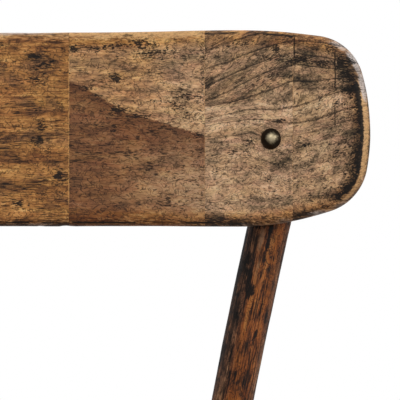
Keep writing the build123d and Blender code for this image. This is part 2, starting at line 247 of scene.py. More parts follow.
# %% Sockets that add up
class Wire:
    """A socket of a node tree that can stand in a sum."""

    def __init__(self, tree, socket=None):
        self.tree = tree
        self.socket = socket

    def add(self, kind, settings=None, inputs=None, output=0):
        made = self.tree.nodes.new(kind)
        for key, value in (settings or {}).items():
            if key == "stops":
                fill_ramp(made.color_ramp, value)
            else:
                setattr(made, key, value)
        for key, value in (inputs or {}).items():
            if isinstance(value, Wire):
                self.tree.links.new(value.socket, made.inputs[key])
            else:
                made.inputs[key].default_value = value
        return Wire(self.tree, made.outputs[output])

    def math(self, operation, *values):
        return self.add("ShaderNodeMath", {"operation": operation}, dict(enumerate(values)))

    def __add__(self, other):
        return self.math("ADD", self, other)

    def __sub__(self, other):
        return self.math("SUBTRACT", self, other)

    def __rsub__(self, other):
        return self.math("SUBTRACT", other, self)

    def __mul__(self, other):
        return self.math("MULTIPLY", self, other)

    def __truediv__(self, other):
        return self.math("DIVIDE", self, other)

    __radd__ = __add__
    __rmul__ = __mul__

    def __abs__(self):
        return self.math("ABSOLUTE", self)

    def clamp(self):
        return self.add("ShaderNodeClamp", None, {0: self})

    def between(self, low, high):
        """Zero below low, one above high, with a soft step between them."""
        settings = {"interpolation_type": "SMOOTHSTEP"}
        return self.add("ShaderNodeMapRange", settings, {"Value": self, "From Min": low, "From Max": high})

    def parts(self):
        """The three numbers of a vector."""
        return [self.add("ShaderNodeSeparateXYZ", None, {0: self}, axis) for axis in range(3)]

    def mix(self, first, second, blend="MIX"):
        """One colour turning into another, or tinted by it, as this value goes from zero to one."""
        settings = {"data_type": "RGBA", "blend_type": blend}
        return self.add("ShaderNodeMix", settings, {0: self, 6: first, 7: second}, 2)


print("a wire can:", [word for word in vars(Wire) if not word.startswith("_")])

# %% [markdown]
# Colours are written as a screen shows them, from 0 to 255, and turned into light, because Blender mixes
# light. Every finish starts from the same surface node, whose sockets are fed by name.

# %% Colours and surfaces


def fill_ramp(ramp, stops):
    while len(ramp.elements) < len(stops):
        ramp.elements.new(0.5)
    for element, (place, colour) in zip(ramp.elements, stops):
        element.position = place
        element.color = colour


def colour(red, green, blue):
    """A colour as a screen gives it, from 0 to 255, turned into light."""
    shares = np.array([red, green, blue]) / 255
    light = np.where(shares < 0.04045, shares / 12.92, ((shares + 0.055) / 1.055) ** 2.4)
    return (*light.tolist(), 1.0)


def new_finish(name):
    """A material with a surface node, and a first wire to build on."""
    material = bpy.data.materials.new(name)
    material.use_nodes = True
    tree = material.node_tree
    surface = tree.nodes["Principled BSDF"]
    return material, Wire(tree), surface


def feed(wire, surface, **sockets):
    """Links wires, or sets numbers, on the surface's sockets."""
    for key, value in sockets.items():
        socket = surface.inputs[key.replace("_", " ")]
        if isinstance(value, Wire):
            wire.tree.links.new(value.socket, socket)
        else:
            socket.default_value = value


print("a middle grey in light:", np.round(colour(128, 128, 128), 3))

# %% [markdown]
# ## Old wood
# The plank is reclaimed hardwood: short fibres, clusters of dark dashes, curly scribbled pores, smudges
# of old dirt, and edges rubbed pale. A picture of wood would stretch over the bends, so the finish is
# worked out in the wood itself. Every wooden piece carries attributes on its points: `grain` is the
# place along, across and through the grain in millimetres, `look` holds a tone, which also carries
# painted shade and light, a warmth and how much the wood is rubbed, which on the posts is a painted
# highlight, `mark` holds a stain, which also carries painted shade, the distance below the heartwood's
# line and the distance from a glue line, `rim` the distance from the edge, a crack along it, which along
# the lower edge is painted shade, and a painted sheen on the outermost edge, `lines` the distance from a
# saw line, its strength and a count of the years, and `ring` says how strongly the year rings show. The
# shader adds the fine detail from noise.

# %% Noise along the grain
# How fine each noise is along and across the grain, its detail and its distortion
WOOD_NOISE = {
    "band": (0.012, 0.11, 3.0, 0.4),
    "streak": (0.05, 0.50, 4.0, 0.5),
    "fibre": (0.17, 1.50, 3.0, 0.3),
    "speck": (0.42, 1.10, 3.0, 0.3),
    "mottle": (0.07, 0.10, 4.0, 0.6),
    "blush": (0.025, 0.20, 3.0, 0.5),
    "curls": (0.24, 0.32, 1.0, 0.8),
    "cluster": (0.045, 0.10, 3.0, 0.6),
    "dashes": (0.16, 1.35, 3.0, 0.3),
}


def stretched(grain, along, around):
    """The grain's own place, squeezed so that noise comes out as long fibres."""
    lengthways, across, through = grain
    squeezed = {0: lengthways * along, 1: across * around, 2: through * around}
    return lengthways.add("ShaderNodeCombineXYZ", None, squeezed)


def cloud(place, detail, distortion=0.0):
    """Soft noise about zero, mostly between -1 and 1."""
    inputs = {"Vector": place, "Scale": 1.0, "Detail": detail, "Roughness": 0.6, "Distortion": distortion}
    return (place.add("ShaderNodeTexNoise", None, inputs, "Fac") - 0.5) * 4


def stored(wire, name, output="Vector"):
    """What a piece's points hold under a name."""
    return wire.add("ShaderNodeAttribute", {"attribute_name": name}, None, output)


def wood_noise(grain, kind, size=1.0, reach=1.0):
    """One of the wood's noises: a larger size makes it finer, a longer reach draws it out."""
    along, across, detail, distortion = WOOD_NOISE[kind]
    return cloud(stretched(grain, along * size / reach, across * size), detail, distortion)


print("noises of the wood:", list(WOOD_NOISE))

# %% [markdown]
# The finish is laid on in the order in which the wood got it: bare wood between two ramps, a plain and
# a warm one, then heartwood, rubbed places and the posts' painted highlights, glue, a painted sheen on
# the edges, and last the pores and the dirt with painted shade, which also feed the bump and the shine.

# %% The wood finish
GLUE_LINE = colour(206, 152, 90)
# The pale grey of a painted sheen on the outermost edge
EDGE_SHEEN = colour(202, 189, 181)
MAUVE = (1.03, 0.92, 0.97, 1)
OLIVE = (0.95, 1.01, 0.95, 1)
HEART_TINT = (0.38, 0.28, 0.24, 1)


def wood_finish(name, plain_stops, warm_stops, dirt_and_shade, rub_and_highlight_colour, size, reach, contrast, pore_level, gloss):
    """Old wood: its colours, how fine and long its grain is, its contrast, its pores and its gloss."""
    material, wire, surface = new_finish(name)
    grain = stored(wire, "grain").parts()
    tone, warmth, rub = stored(wire, "look").parts()
    stain_and_shade, below, glue = stored(wire, "mark").parts()
    edge, crack_and_shade, sheen = stored(wire, "rim").parts()
    aside, sawn, count = stored(wire, "lines").parts()
    ring = stored(wire, "ring", "Fac")

    band = wood_noise(grain, "band", size)
    streak, fibre, speck, dashes = (
        wood_noise(grain, kind, size, reach) for kind in ("streak", "fibre", "speck", "dashes")
    )
    mottle, blush, curls, cluster = (
        wood_noise(grain, kind) for kind in ("mottle", "blush", "curls", "cluster")
    )
    scribble = (1 - abs(curls).between(0.03, 0.24)) * (cluster * -0.4 + 0.62).clamp()
    pores = (dashes + cluster * 0.7).between(pore_level, pore_level + 0.5)
    years = count + band * 0.05 + streak * 0.03
    year = years.math("FRACT", years)
    late_line = (1 - abs(year - 0.93).between(0.0, 0.07)) * (streak + fibre + 0.9).clamp() * ring

    light = tone + (band * 0.10 + streak * 0.09 + fibre * 0.10 + mottle * 0.13) * contrast
    light = light - (year * year - 0.3) * ring * 0.20
    plain = light.add("ShaderNodeValToRGB", {"stops": plain_stops}, {0: light})
    warm = light.add("ShaderNodeValToRGB", {"stops": warm_stops}, {0: light})
    skin = (warmth + mottle * 0.3).clamp().mix(plain, warm)
    skin = blush.clamp().mix(skin, MAUVE, "MULTIPLY")
    skin = (blush * -1).clamp().mix(skin, OLIVE, "MULTIPLY")

    heart = (below + streak * 1.6 + mottle * 0.8).between(-0.7, 0.8) * (1 - below.between(8, 60) * 0.45)
    skin = heart.mix(skin, HEART_TINT, "MULTIPLY")
    # Rubbed, lighter places; on the posts these are painted highlights
    rub_and_highlight_mask = (rub + mottle * 0.30 + fibre * 0.34 + streak * 0.22).between(0.22, 0.95)
    skin = (rub_and_highlight_mask * 0.72).mix(skin, rub_and_highlight_colour)
    glue_mask = 1 - (glue + fibre * 0.12).between(0.12, 0.48)
    skin = (glue_mask * 0.8).mix(skin, GLUE_LINE)
    # A painted sheen: pale grey on the outermost edge
    sheen_mask = (sheen * (1 - edge.between(2.4, 5.4)) + fibre * 0.2 + mottle * 0.15).between(0.25, 0.75)
    skin = (sheen_mask * 0.85).mix(skin, EDGE_SHEEN)
    holes = (scribble + pores + late_line).clamp() * (1 - rub_and_highlight_mask * 0.45)
    skin = (holes * 0.88).mix(skin, dirt_and_shade)
    # The smudges carry dirt, and painted shade: a shadow round the bolt heads and the posts' left flanks
    smudge_and_shade = (stain_and_shade + streak * 0.26 + speck * 0.62 + curls * 0.22 + mottle * 0.10).between(0.45, 0.88)
    # Dark lines inside the edge: cracks along the upper edge, painted shade along the lower one
    crack_and_shade_line = 1 - abs(edge - 2.4 + streak * 0.4 + mottle * 0.5).between(0.25, 0.85)
    crack_and_shade_line = crack_and_shade_line * (crack_and_shade + fibre * 0.3 + mottle * 0.2).between(0.3, 0.6)
    saw_line = 1 - abs(aside + mottle * 0.30 + curls * 0.12).between(0.15, 0.75)
    saw_line = saw_line * (sawn + fibre * 0.4 + streak * 0.2).between(0.30, 0.85)
    smudge_and_shade = (smudge_and_shade + crack_and_shade_line + saw_line).clamp()
    skin = (smudge_and_shade * 0.96).mix(skin, dirt_and_shade)

    relief = fibre * 0.15 + streak * 0.15 - holes * 0.5 - smudge_and_shade * 0.2
    bump = relief.add("ShaderNodeBump", None, {"Strength": 0.5, "Distance": 0.0003, "Height": relief})
    shine = 0.52 - streak * 0.05 + holes * 0.15 + smudge_and_shade * 0.12
    feed(wire, surface, Base_Color=skin, Roughness=shine, Normal=bump)
    feed(wire, surface, Specular_IOR_Level=gloss, Coat_Weight=0.0)
    return material


print("colours of the finish are set")

# %% [markdown]
# Three woods come out of the one finish: the plank's, the seat's with a coarser and calmer grain, and the
# darker, redder one of the sticks. Each has a row of colours from dark to light, once plain and once warm.
# One material could serve all of them, but with three a later maker can change one and leave the others.

# %% The three woods
BACK_PLAIN = [
    (0.02, colour(48, 39, 29)),
    (0.28, colour(119, 96, 71)),
    (0.52, colour(177, 143, 110)),
    (0.75, colour(212, 173, 134)),
    (0.98, colour(232, 200, 164)),
]
BACK_WARM = [
    (0.02, colour(50, 29, 14)),
    (0.28, colour(116, 73, 37)),
    (0.52, colour(168, 114, 60)),
    (0.75, colour(204, 147, 82)),
    (0.98, colour(226, 176, 108)),
]
STICK_PLAIN = [
    (0.08, colour(24, 18, 14)),
    (0.30, colour(62, 47, 37)),
    (0.52, colour(98, 76, 60)),
    (0.75, colour(128, 101, 80)),
    (0.98, colour(156, 129, 104)),
]
STICK_WARM = [
    (0.08, colour(24, 12, 5)),
    (0.30, colour(76, 40, 17)),
    (0.52, colour(126, 68, 28)),
    (0.75, colour(154, 88, 38)),
    (0.98, colour(172, 112, 58)),
]
# The two dark colours paint dirt and soot, and also painted shade: round the bolt heads, along the plank's
# lower edge and on the posts' left flanks
DIRT_AND_SHADE = colour(18, 14, 11)
SOOT_AND_SHADE = colour(14, 10, 8)
BACK_RUBBED = colour(218, 173, 119)
SEAT_RUBBED = colour(210, 168, 116)
# On the posts the sticks' rubbed colour is a painted highlight
STICK_RUB_AND_HIGHLIGHT = colour(134, 106, 82)
back_colours = (BACK_PLAIN, BACK_WARM, DIRT_AND_SHADE, BACK_RUBBED)
seat_colours = (BACK_PLAIN, BACK_WARM, DIRT_AND_SHADE, SEAT_RUBBED)
stick_colours = (STICK_PLAIN, STICK_WARM, SOOT_AND_SHADE, STICK_RUB_AND_HIGHLIGHT)
back_wood = wood_finish(
    "back_wood", *back_colours, size=1.0, reach=1.0, contrast=2.45, pore_level=0.26, gloss=0.26
)
seat_wood = wood_finish(
    "seat_wood", *seat_colours, size=0.7, reach=1.2, contrast=2.0, pore_level=0.50, gloss=0.3
)
stick_wood = wood_finish(
    "stick_wood", *stick_colours, size=0.85, reach=2.2, contrast=3.4, pore_level=0.12, gloss=0.28
)
print("woods:", back_wood.name, seat_wood.name, stick_wood.name)

# %% [markdown]
# ## Round-edged slabs
# Both the plank and the seat are flat blanks with an outline, two faces and rounded edges. A cube with
# a bevel can't follow a bent face, so the slab is laid out as rings: from the middle of the lower face
# out to the edge, round it, up the wall, round the upper edge and back in. The rounding is a true
# fillet: where the face leans towards the wall it gets wider, as it does at the plank's ends.

# %% Slab of rings
ROUND_STEPS = 8
WALL_STEPS = 5


def slab_half(rim, inward, spine, height, radius, face_rings):
    """Rings from the wall to the middle of a face whose height is given over the plane."""
    probe = 0.5
    slope = (height(rim + inward * probe) - height(rim)) / probe
    lean = np.arctan(-slope)
    rings = []
    for share in np.linspace(0, 1, ROUND_STEPS + 1):
        turn = math.pi + share * (math.pi / 2 + lean)
        inset = radius + radius * np.cos(turn)
        drop = radius * (np.tan(lean) + 1 / np.cos(lean)) + radius * np.sin(turn)
        place = rim + inward * inset[:, None]
        rings.append(np.column_stack([place, height(place) - drop + np.tan(lean) * inset]))
    edge = rings[-1][:, :2]
    for share in np.linspace(0, 1, face_rings + 1)[1:]:
        place = edge + (spine - edge) * share
        rings.append(np.column_stack([place, height(place)]))
    return rings


def slab_rings(rim, spine, top, bottom, top_round, bottom_round, face_rings):
    """All rings of a slab, from the middle of its bottom to the middle of its top."""
    travel = np.roll(rim, -1, axis=0) - np.roll(rim, 1, axis=0)
    travel = travel / np.linalg.norm(travel, axis=1)[:, None]
    inward = np.column_stack([-travel[:, 1], travel[:, 0]])
    upper = slab_half(rim, inward, spine, top, top_round, face_rings)
    lower = slab_half(rim, inward, spine, lambda place: -bottom(place), bottom_round, face_rings)
    lower = [ring * [1, 1, -1] for ring in lower]
    walls = []
    for share in np.linspace(0, 1, WALL_STEPS + 1)[1:-1]:
        walls.append(lower[0] + (upper[0] - lower[0]) * share)
    return np.array(lower[::-1] + walls + upper)


print("slabs take", ROUND_STEPS, "steps round an edge")

# %% [markdown]
# ## Closed meshes
# Every piece is a closed mesh from points in millimetres. Where rings of points lie on each other, as they
# do along the middle of a face, they are merged, because a Boolean cut needs a mesh without holes.

# %% Meshes
MERGE_DISTANCE = 0.004


def link_mesh(name, points, faces):
    """A mesh object from points in millimetres."""
    mesh = bpy.data.meshes.new(name)
    mesh.from_pydata((np.asarray(points) * MM).tolist(), [], [list(face) for face in faces])
    piece = bpy.data.objects.new(name, mesh)
    bpy.context.scene.collection.objects.link(piece)
    return piece


def tube_faces(rings, around):
    """Quads between neighbouring rings of points."""
    first = np.arange(rings - 1)[:, None] * around
    here = np.arange(around)[None, :]
    after = (here + 1) % around
    corners = [first + here, first + after, first + around + after, first + around + here]
    return np.stack(corners, -1).reshape(-1, 4)


@contextmanager
def reshaped(piece):
    """A mesh opened for editing, and written back at the end."""
    shape = bmesh.new()
    shape.from_mesh(piece.data)
    yield shape
    shape.to_mesh(piece.data)
    shape.free()


def merge_close(piece):
    """Closes the seams where rings of points lie on each other."""
    with reshaped(piece) as shape:
        bmesh.ops.remove_doubles(shape, verts=shape.verts, dist=MERGE_DISTANCE * MM)
        bmesh.ops.dissolve_degenerate(shape, edges=shape.edges, dist=MERGE_DISTANCE * MM)


def face_outwards(piece):
    """Turns all faces of a closed mesh outwards."""
    with reshaped(piece) as shape:
        bmesh.ops.recalc_face_normals(shape, faces=shape.faces)


print("points nearer than", MERGE_DISTANCE, "mm become one")

# %% [markdown]
# ## Cuts
# Seams, laps, bores and sockets are made as a saw or a drill makes them, with plain prisms and rods as
# cutters. A Boolean modifier could stay live, but its result becomes the plain mesh at once, so that the
# next step works on real points and the cutter can go.

# %% Cutters


def baked(piece):
    """Turns what the modifiers give into the object's plain mesh."""
    view = bpy.context.evaluated_depsgraph_get()
    mesh = bpy.data.meshes.new_from_object(piece.evaluated_get(view))
    old = piece.data
    piece.modifiers.clear()
    piece.data = mesh
    bpy.data.meshes.remove(old)


def cut(piece, operation, *cutters):
    """Cuts, joins or keeps what lies inside other closed meshes."""
    for cutter in cutters:
        step = piece.modifiers.new("cut", "BOOLEAN")
        step.operation = operation
        step.solver = "MANIFOLD"
        step.object = cutter
        baked(piece)


def discard(*objects):
    for unwanted in objects:
        mesh = unwanted.data
        bpy.data.objects.remove(unwanted)
        bpy.data.meshes.remove(mesh)


def copied(piece, name):
    twin = bpy.data.objects.new(name, piece.data.copy())
    bpy.context.scene.collection.objects.link(twin)
    return twin


def prism(name, plan, low, high):
    """A closed upright prism over a plan of x and y."""
    count = len(plan)
    points = [(*point, low) for point in plan] + [(*point, high) for point in plan]
    faces = [list(range(count))[::-1], list(range(count, 2 * count))]
    for here in range(count):
        after = (here + 1) % count
        faces.append([here, after, count + after, count + here])
    return link_mesh(name, points, faces)


def rod(name, start, end, radius, around=64):
    """A closed round bar between two points."""
    start, end = np.asarray(start, float), np.asarray(end, float)
    along = unit(end - start)
    side = unit(np.cross(along, [0.3, 1.0, 0.2]))
    other = np.cross(along, side)
    turns = np.linspace(0, 2 * math.pi, around, endpoint=False)[:, None]
    circle = side * np.cos(turns) * radius + other * np.sin(turns) * radius
    points = np.vstack([start + circle, end + circle])
    faces = [list(face) for face in tube_faces(2, around)]
    faces += [list(range(around))[::-1], list(range(around, 2 * around))]
    return link_mesh(name, points, faces)


def block(name, low, high):
    """A closed box."""
    plan = [(low[0], low[1]), (high[0], low[1]), (high[0], high[1]), (low[0], high[1])]
    return prism(name, plan, low[2], high[2])


print("cutting tools are ready")

# %% [markdown]
# ## What a wooden piece carries
# The finish reads numbers from the points of each piece, so they are stored as named attributes. A
# finished piece is shaded smooth, apart from its sharp edges, and stands for its node of the model.

# %% Paint and finish a piece
NO_HEART = -30.0
FAR = 20.0


def points_of(piece):
    """A mesh's points in millimetres."""
    flat = np.empty(len(piece.data.vertices) * 3)
    piece.data.vertices.foreach_get("co", flat)
    return flat.reshape(-1, 3) / MM


def paint(piece, name, *columns):
    """Stores three numbers on every point for the finish to read."""
    count = len(piece.data.vertices)
    table = np.column_stack([np.broadcast_to(column, count) for column in columns]).astype(np.float32)
    layer = piece.data.attributes.new(name, "FLOAT_VECTOR", "POINT")
    layer.data.foreach_set("vector", table.ravel())


def paint_value(piece, name, values):
    """Stores one number on every point."""
    table = np.broadcast_to(values, len(piece.data.vertices)).astype(np.float32)
    layer = piece.data.attributes.new(name, "FLOAT", "POINT")
    layer.data.foreach_set("value", table)


def paint_wood(piece, grain, look, mark, rim, lines, ring):
    """Stores all that the wood finish reads."""
    layers = {"grain": grain, "look": look, "mark": mark, "rim": rim, "lines": lines}
    for name, columns in layers.items():
        paint(piece, name, *columns)
    paint_value(piece, "ring", ring)


def finish_piece(piece, material, node, sharp=40):
    """Smooths a piece, gives it its finish and lets it stand for its CAD node."""
    piece.data.materials.clear()
    piece.data.materials.append(material)
    piece.data.shade_smooth()
    piece.data.set_sharp_from_angle(angle=math.radians(sharp))
    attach(piece, "root")
    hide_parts(node)


print("distances are kept up to", FAR, "mm")

# %% [markdown]
# ## The plank
# Seen square from the front, the plank's outline is a chain of arcs: a flat arc at each end, a tighter
# corner and a long shoulder that runs into the straight edge. The top is higher above the widest level
# than the bottom is below it. Points on the top and bottom edges come in pairs with the same x, so the
# rings can meet on a straight line along the middle.

# %% The plank's outline
PLANK_HALF = 212.65
PLANK_RISE = 65.1
PLANK_DROP = 57.3
END_RADIUS = 136.6
CORNER_RADIUS = 32.5
TOP_SHOULDER = (339.0, math.radians(10.5))
BOTTOM_SHOULDER = (174.0, math.radians(19.2))
FRONT_ROUND = 5.0
REAR_ROUND = 4.0
SPINE_HALF = 150.0
PLANK_STEP = 1.3
PLANK_FACE_RINGS = 44
ARC_POINTS = 400


def quarter_edge(rise, shoulder):
    """The outline from its widest point to the level edge, as x and height."""
    shoulder_radius, turn = shoulder
    second = math.pi / 2 - turn
    left_over = rise - shoulder_radius * (1 - math.sin(second)) - CORNER_RADIUS * math.sin(second)
    first = math.asin(left_over / (END_RADIUS - CORNER_RADIUS))
    x, z = PLANK_HALF, 0.0
    points = []
    level = math.pi / 2
    spans = ((END_RADIUS, 0.0, first), (CORNER_RADIUS, first, second), (shoulder_radius, second, level))
    for radius, begin, end in spans:
        turns = np.linspace(begin, end, ARC_POINTS)
        sweep_x = x - radius * (math.cos(begin) - np.cos(turns))
        sweep_z = z + radius * (np.sin(turns) - math.sin(begin))
        points.append(np.column_stack([sweep_x, sweep_z]))
        x, z = points[-1][-1]
    return np.vstack(points + [[[0.0, rise]]])


def spaced(points, step):
    """The same line with evenly spaced points."""
    lengths = np.concatenate([[0], np.cumsum(np.linalg.norm(np.diff(points, axis=0), axis=1))])
    places = np.linspace(0, lengths[-1], int(lengths[-1] / step) + 1)
    return np.column_stack([np.interp(places, lengths, points[:, axis]) for axis in range(2)])


top_edge = quarter_edge(PLANK_RISE, TOP_SHOULDER)
bottom_edge = quarter_edge(PLANK_DROP, BOTTOM_SHOULDER) * [1, -1]


def edge_height(edge, x):
    return np.interp(np.abs(x), edge[::-1, 0], edge[::-1, 1])


level_row = np.linspace(-SPINE_HALF, SPINE_HALF, int(2 * SPINE_HALF / PLANK_STEP) + 1)
end_line = np.vstack([bottom_edge[::-1], top_edge])
end_line = end_line[end_line[:, 0] > SPINE_HALF]
end_corners = [[SPINE_HALF, edge_height(edge, SPINE_HALF)] for edge in (bottom_edge, top_edge)]
right_end = spaced(np.vstack([end_corners[:1], end_line, end_corners[1:]]), PLANK_STEP)[1:-1]
left_end = right_end[::-1] * [-1, 1]
plank_rim = np.vstack(
    [
        np.column_stack([level_row, edge_height(bottom_edge, level_row)]),
        right_end,
        np.column_stack([level_row[::-1], edge_height(top_edge, level_row)]),
        left_end,
    ]
)
spine_x = np.clip(plank_rim[:, 0], -SPINE_HALF, SPINE_HALF)
plank_spine = np.column_stack([spine_x, np.zeros(len(plank_rim))])
print("plank outline:", len(plank_rim), "points")

# %% [markdown]
# The rings are laid out flat, with the plank's bend as the height of both faces, and then stood up. A
# flat slab with a bend on it would come out narrower, and the outline has to stay as the picture has it.

# %% The plank's rings
# The rings lie in x and y with their height in z; the plank stands in x and z with its depth in y
FLAT_TO_PLANK = np.array([[1, 0, 0], [0, 0, 1], [0, -1, 0]])


def plank_front(place):
    return -plank_face(place[:, 0])


def plank_rear(place):
    return PLANK_BEND - np.sqrt((PLANK_BEND + PLANK_THICKNESS) ** 2 - place[:, 0] ** 2)


plank_faces = (plank_front, plank_rear, FRONT_ROUND, REAR_ROUND)
plank_rings = slab_rings(plank_rim, plank_spine, *plank_faces, PLANK_FACE_RINGS)
plank_points = plank_rings.reshape(-1, 3) @ FLAT_TO_PLANK
print("plank rings:", plank_rings.shape[:2], "points:", len(plank_points))

# %% [markdown]
# Old wood is never quite straight: the edges have been knocked and sanded. Slow noise moves the edge
# by a few tenths of a millimetre, and a short stretch of the lower edge has small chips. Sculpting could
# do the same, but noise with fixed seeds gives the same plank every time.

# %% Worn edges on the plank
EDGE_WOBBLE = 0.35
CHIP_DEPTH = 1.0
CHIPS_SEEN = (14, 84)
CHIP_START, CHIP_END = (seen_x(place) for place in CHIPS_SEEN)


def wobble(values, rate, seed):
    """Smooth noise between about -1 and 1 along a line."""
    return np.array([noise.noise(Vector((value * rate, seed, 0.37))) for value in values])


def soft_step(values, low, high):
    share = np.clip((values - low) / (high - low), 0, 1)
    return share * share * (3 - 2 * share)


def worn_plank(points):
    """The plank's points with wandering edges, chips in the lower one and ends drawn in a little."""
    x, y, z = points.T
    upper = soft_step(z, 25, 50)
    lower = soft_step(-z, 20, 45)
    rise = upper * wobble(x, 0.035, 4.0) * EDGE_WOBBLE + lower * wobble(x, 0.03, 9.0) * EDGE_WOBBLE
    chip_zone = soft_step(x, CHIP_START, CHIP_START + 8) * (1 - soft_step(x, CHIP_END - 8, CHIP_END))
    chips = np.maximum(wobble(x + y * 0.3, 0.16, 2.0), 0) * CHIP_DEPTH * chip_zone * soft_step(-z, 46, 56)
    side = soft_step(np.abs(x), 175, 205) * wobble(z, 0.04, 6.0) * EDGE_WOBBLE
    return np.column_stack([x - np.sign(x) * np.abs(side), y, z + rise + chips])


plank_blank = link_mesh("plank_blank", worn_plank(plank_points), tube_faces(*plank_rings.shape[:2]))
merge_close(plank_blank)
print("plank blank:", len(plank_blank.data.vertices), "points")

# %% [markdown]
# ## Staves
# The plank was sawn from a thick block glued up from short lengths, with finger joints between them:
# straight lines on both faces and a zigzag along the top and bottom edges. Each stave is the blank cut
# by an upright prism whose two sides follow the joints. Staves made one by one would have to be fitted,
# but staves cut from one blank meet at every seam.

# %% Cut the plank into staves
SEAMS = (-170.0, -118.0, -58.0, 27.2, 112.8, 166.6)
FINGERS = 3
FINGER_DEPTH = 7.0
FINGER_SHOULDER = 3.0
REACH = 40.0


def finger_line(seam):
    """A joint in plan, from the front to the back."""
    front = plank_face(seam)
    rear = -plank_rear(np.array([[seam, 0.0]]))[0]
    first, last = front + FINGER_SHOULDER, rear - FINGER_SHOULDER
    steps = np.arange(2 * FINGERS)
    swings = np.where(steps % 2 == 0, FINGER_DEPTH / 2, -FINGER_DEPTH / 2)
    fingers = np.column_stack([seam + swings, first + (steps + 0.5) * (last - first) / (2 * FINGERS)])
    return [(seam, front - REACH), (seam, first), *map(tuple, fingers), (seam, last), (seam, rear + REACH)]


def straight_line(x):
    return [(x, -4 * REACH), (x, 2 * REACH)]


lines = [straight_line(-PLANK_HALF - REACH)] + [finger_line(seam) for seam in SEAMS]
lines.append(straight_line(PLANK_HALF + REACH))
back_staves = []
for number, (left, right) in enumerate(zip(lines[:-1], lines[1:]), start=1):
    cutter = prism("stave_cutter", right + left[::-1], -2 * PLANK_RISE, 2 * PLANK_RISE)
    face_outwards(cutter)
    stave = copied(plank_blank, "back_plank_piece_%d" % number)
    cut(stave, "INTERSECT", cutter)
    discard(cutter)
    back_staves.append(stave)
discard(plank_blank)
print("staves:", [len(stave.data.polygons) for stave in back_staves])

# %% [markdown]
# ## What each stave shows
# Every stave came from another board, so each has its own run of the grain, tone and warmth. The four
# on the right follow the photograph: streaky orange wood, a tan board with a slanting edge of dark
# heartwood, a board whose lines fan upwards over a wavy band, and a greyer end with black dirt along
# the rim. Dirt, and a painted shadow round the bolt's head, are laid on as soft ovals that the shader
# then breaks up along the fibres.

# %% Tone, warmth and grain of the staves
STAVE_TILT = (2.0, -4.0, 3.0, 0.0, -2.0, 3.0, 0.0)
STAVE_TONE = (0.54, 0.61, 0.50, 0.50, 0.685, 0.64, 0.58)
STAVE_WARMTH = (0.4, 0.2, 0.5, 1.0, 0.6, 0.10, 0.12)
STAVE_RINGS = (0.3, 0.5, 0.3, 0.15, 0.1, 0.9, 0.9)
RING_STEP = 8.0
HEART_LINE = ((60, 79), (76, 83), (88, 90), (110, 103), (118, 109), (140, 116), (168, 125), (210, 139))
# Year lines of the two right staves, from the top down, as places of the picture
YEAR_LINES = (
    ((196, 56), (215, 48), (234, 42), (260, 34), (295, 26), (372, 34)),
    (
        (196, 76), (215, 67), (227, 64), (234, 60), (246, 55),
        (262, 49), (280, 44), (295, 42), (330, 45), (372, 52),
    ),
    (
        (196, 95), (211, 86), (230, 76), (250, 67), (270, 60),
        (283, 56), (294, 54), (315, 57), (333, 60), (372, 66),
    ),
    (
        (196, 104), (213, 99), (227, 93), (244, 84), (260, 76),
        (280, 68), (291, 66), (313, 67), (330, 69), (372, 73),
    ),
    (
        (196, 107), (225, 104), (241, 100), (263, 94), (280, 88),
        (289, 83), (300, 82), (316, 82), (330, 80), (372, 82),
    ),
    (
        (196, 122), (219, 117), (233, 114), (244, 111), (257, 110),
        (270, 111), (288, 110), (315, 101), (341, 92), (372, 89),
    ),
    (
        (196, 129), (225, 123), (242, 121), (257, 120), (273, 122),
        (290, 124), (309, 122), (325, 118), (337, 113), (372, 105),
    ),
    (
        (196, 141), (230, 137), (250, 134), (272, 139), (290, 137),
        (310, 133), (327, 128), (345, 122), (372, 118),
    ),
    ((196, 154), (249, 149), (270, 154), (290, 150), (306, 146), (327, 140), (345, 135), (372, 130)),
    ((196, 170), (250, 168), (290, 168), (330, 160), (372, 150)),
    ((196, 187), (250, 185), (290, 184), (331, 175), (372, 168)),
    ((196, 204), (250, 203), (290, 201), (331, 196), (372, 190)),
    ((196, 221), (250, 220), (290, 218), (331, 214), (372, 210)),
    ((196, 240), (250, 240), (290, 239), (331, 237), (372, 235)),
)
YEAR_STEP = 10.5
# Where the darker upper part of these two staves ends
DARK_FLOOR = {
    6: ((196, 106), (204, 106), (226, 105), (251, 103), (270, 102), (296, 101)),
    7: ((288, 91), (315, 89), (333, 90), (352, 91), (372, 92)),
}
HEART_STAVE = 5
FANNED_STAVES = (6, 7)
END_STAVE = 7
print("year lines:", len(YEAR_LINES))
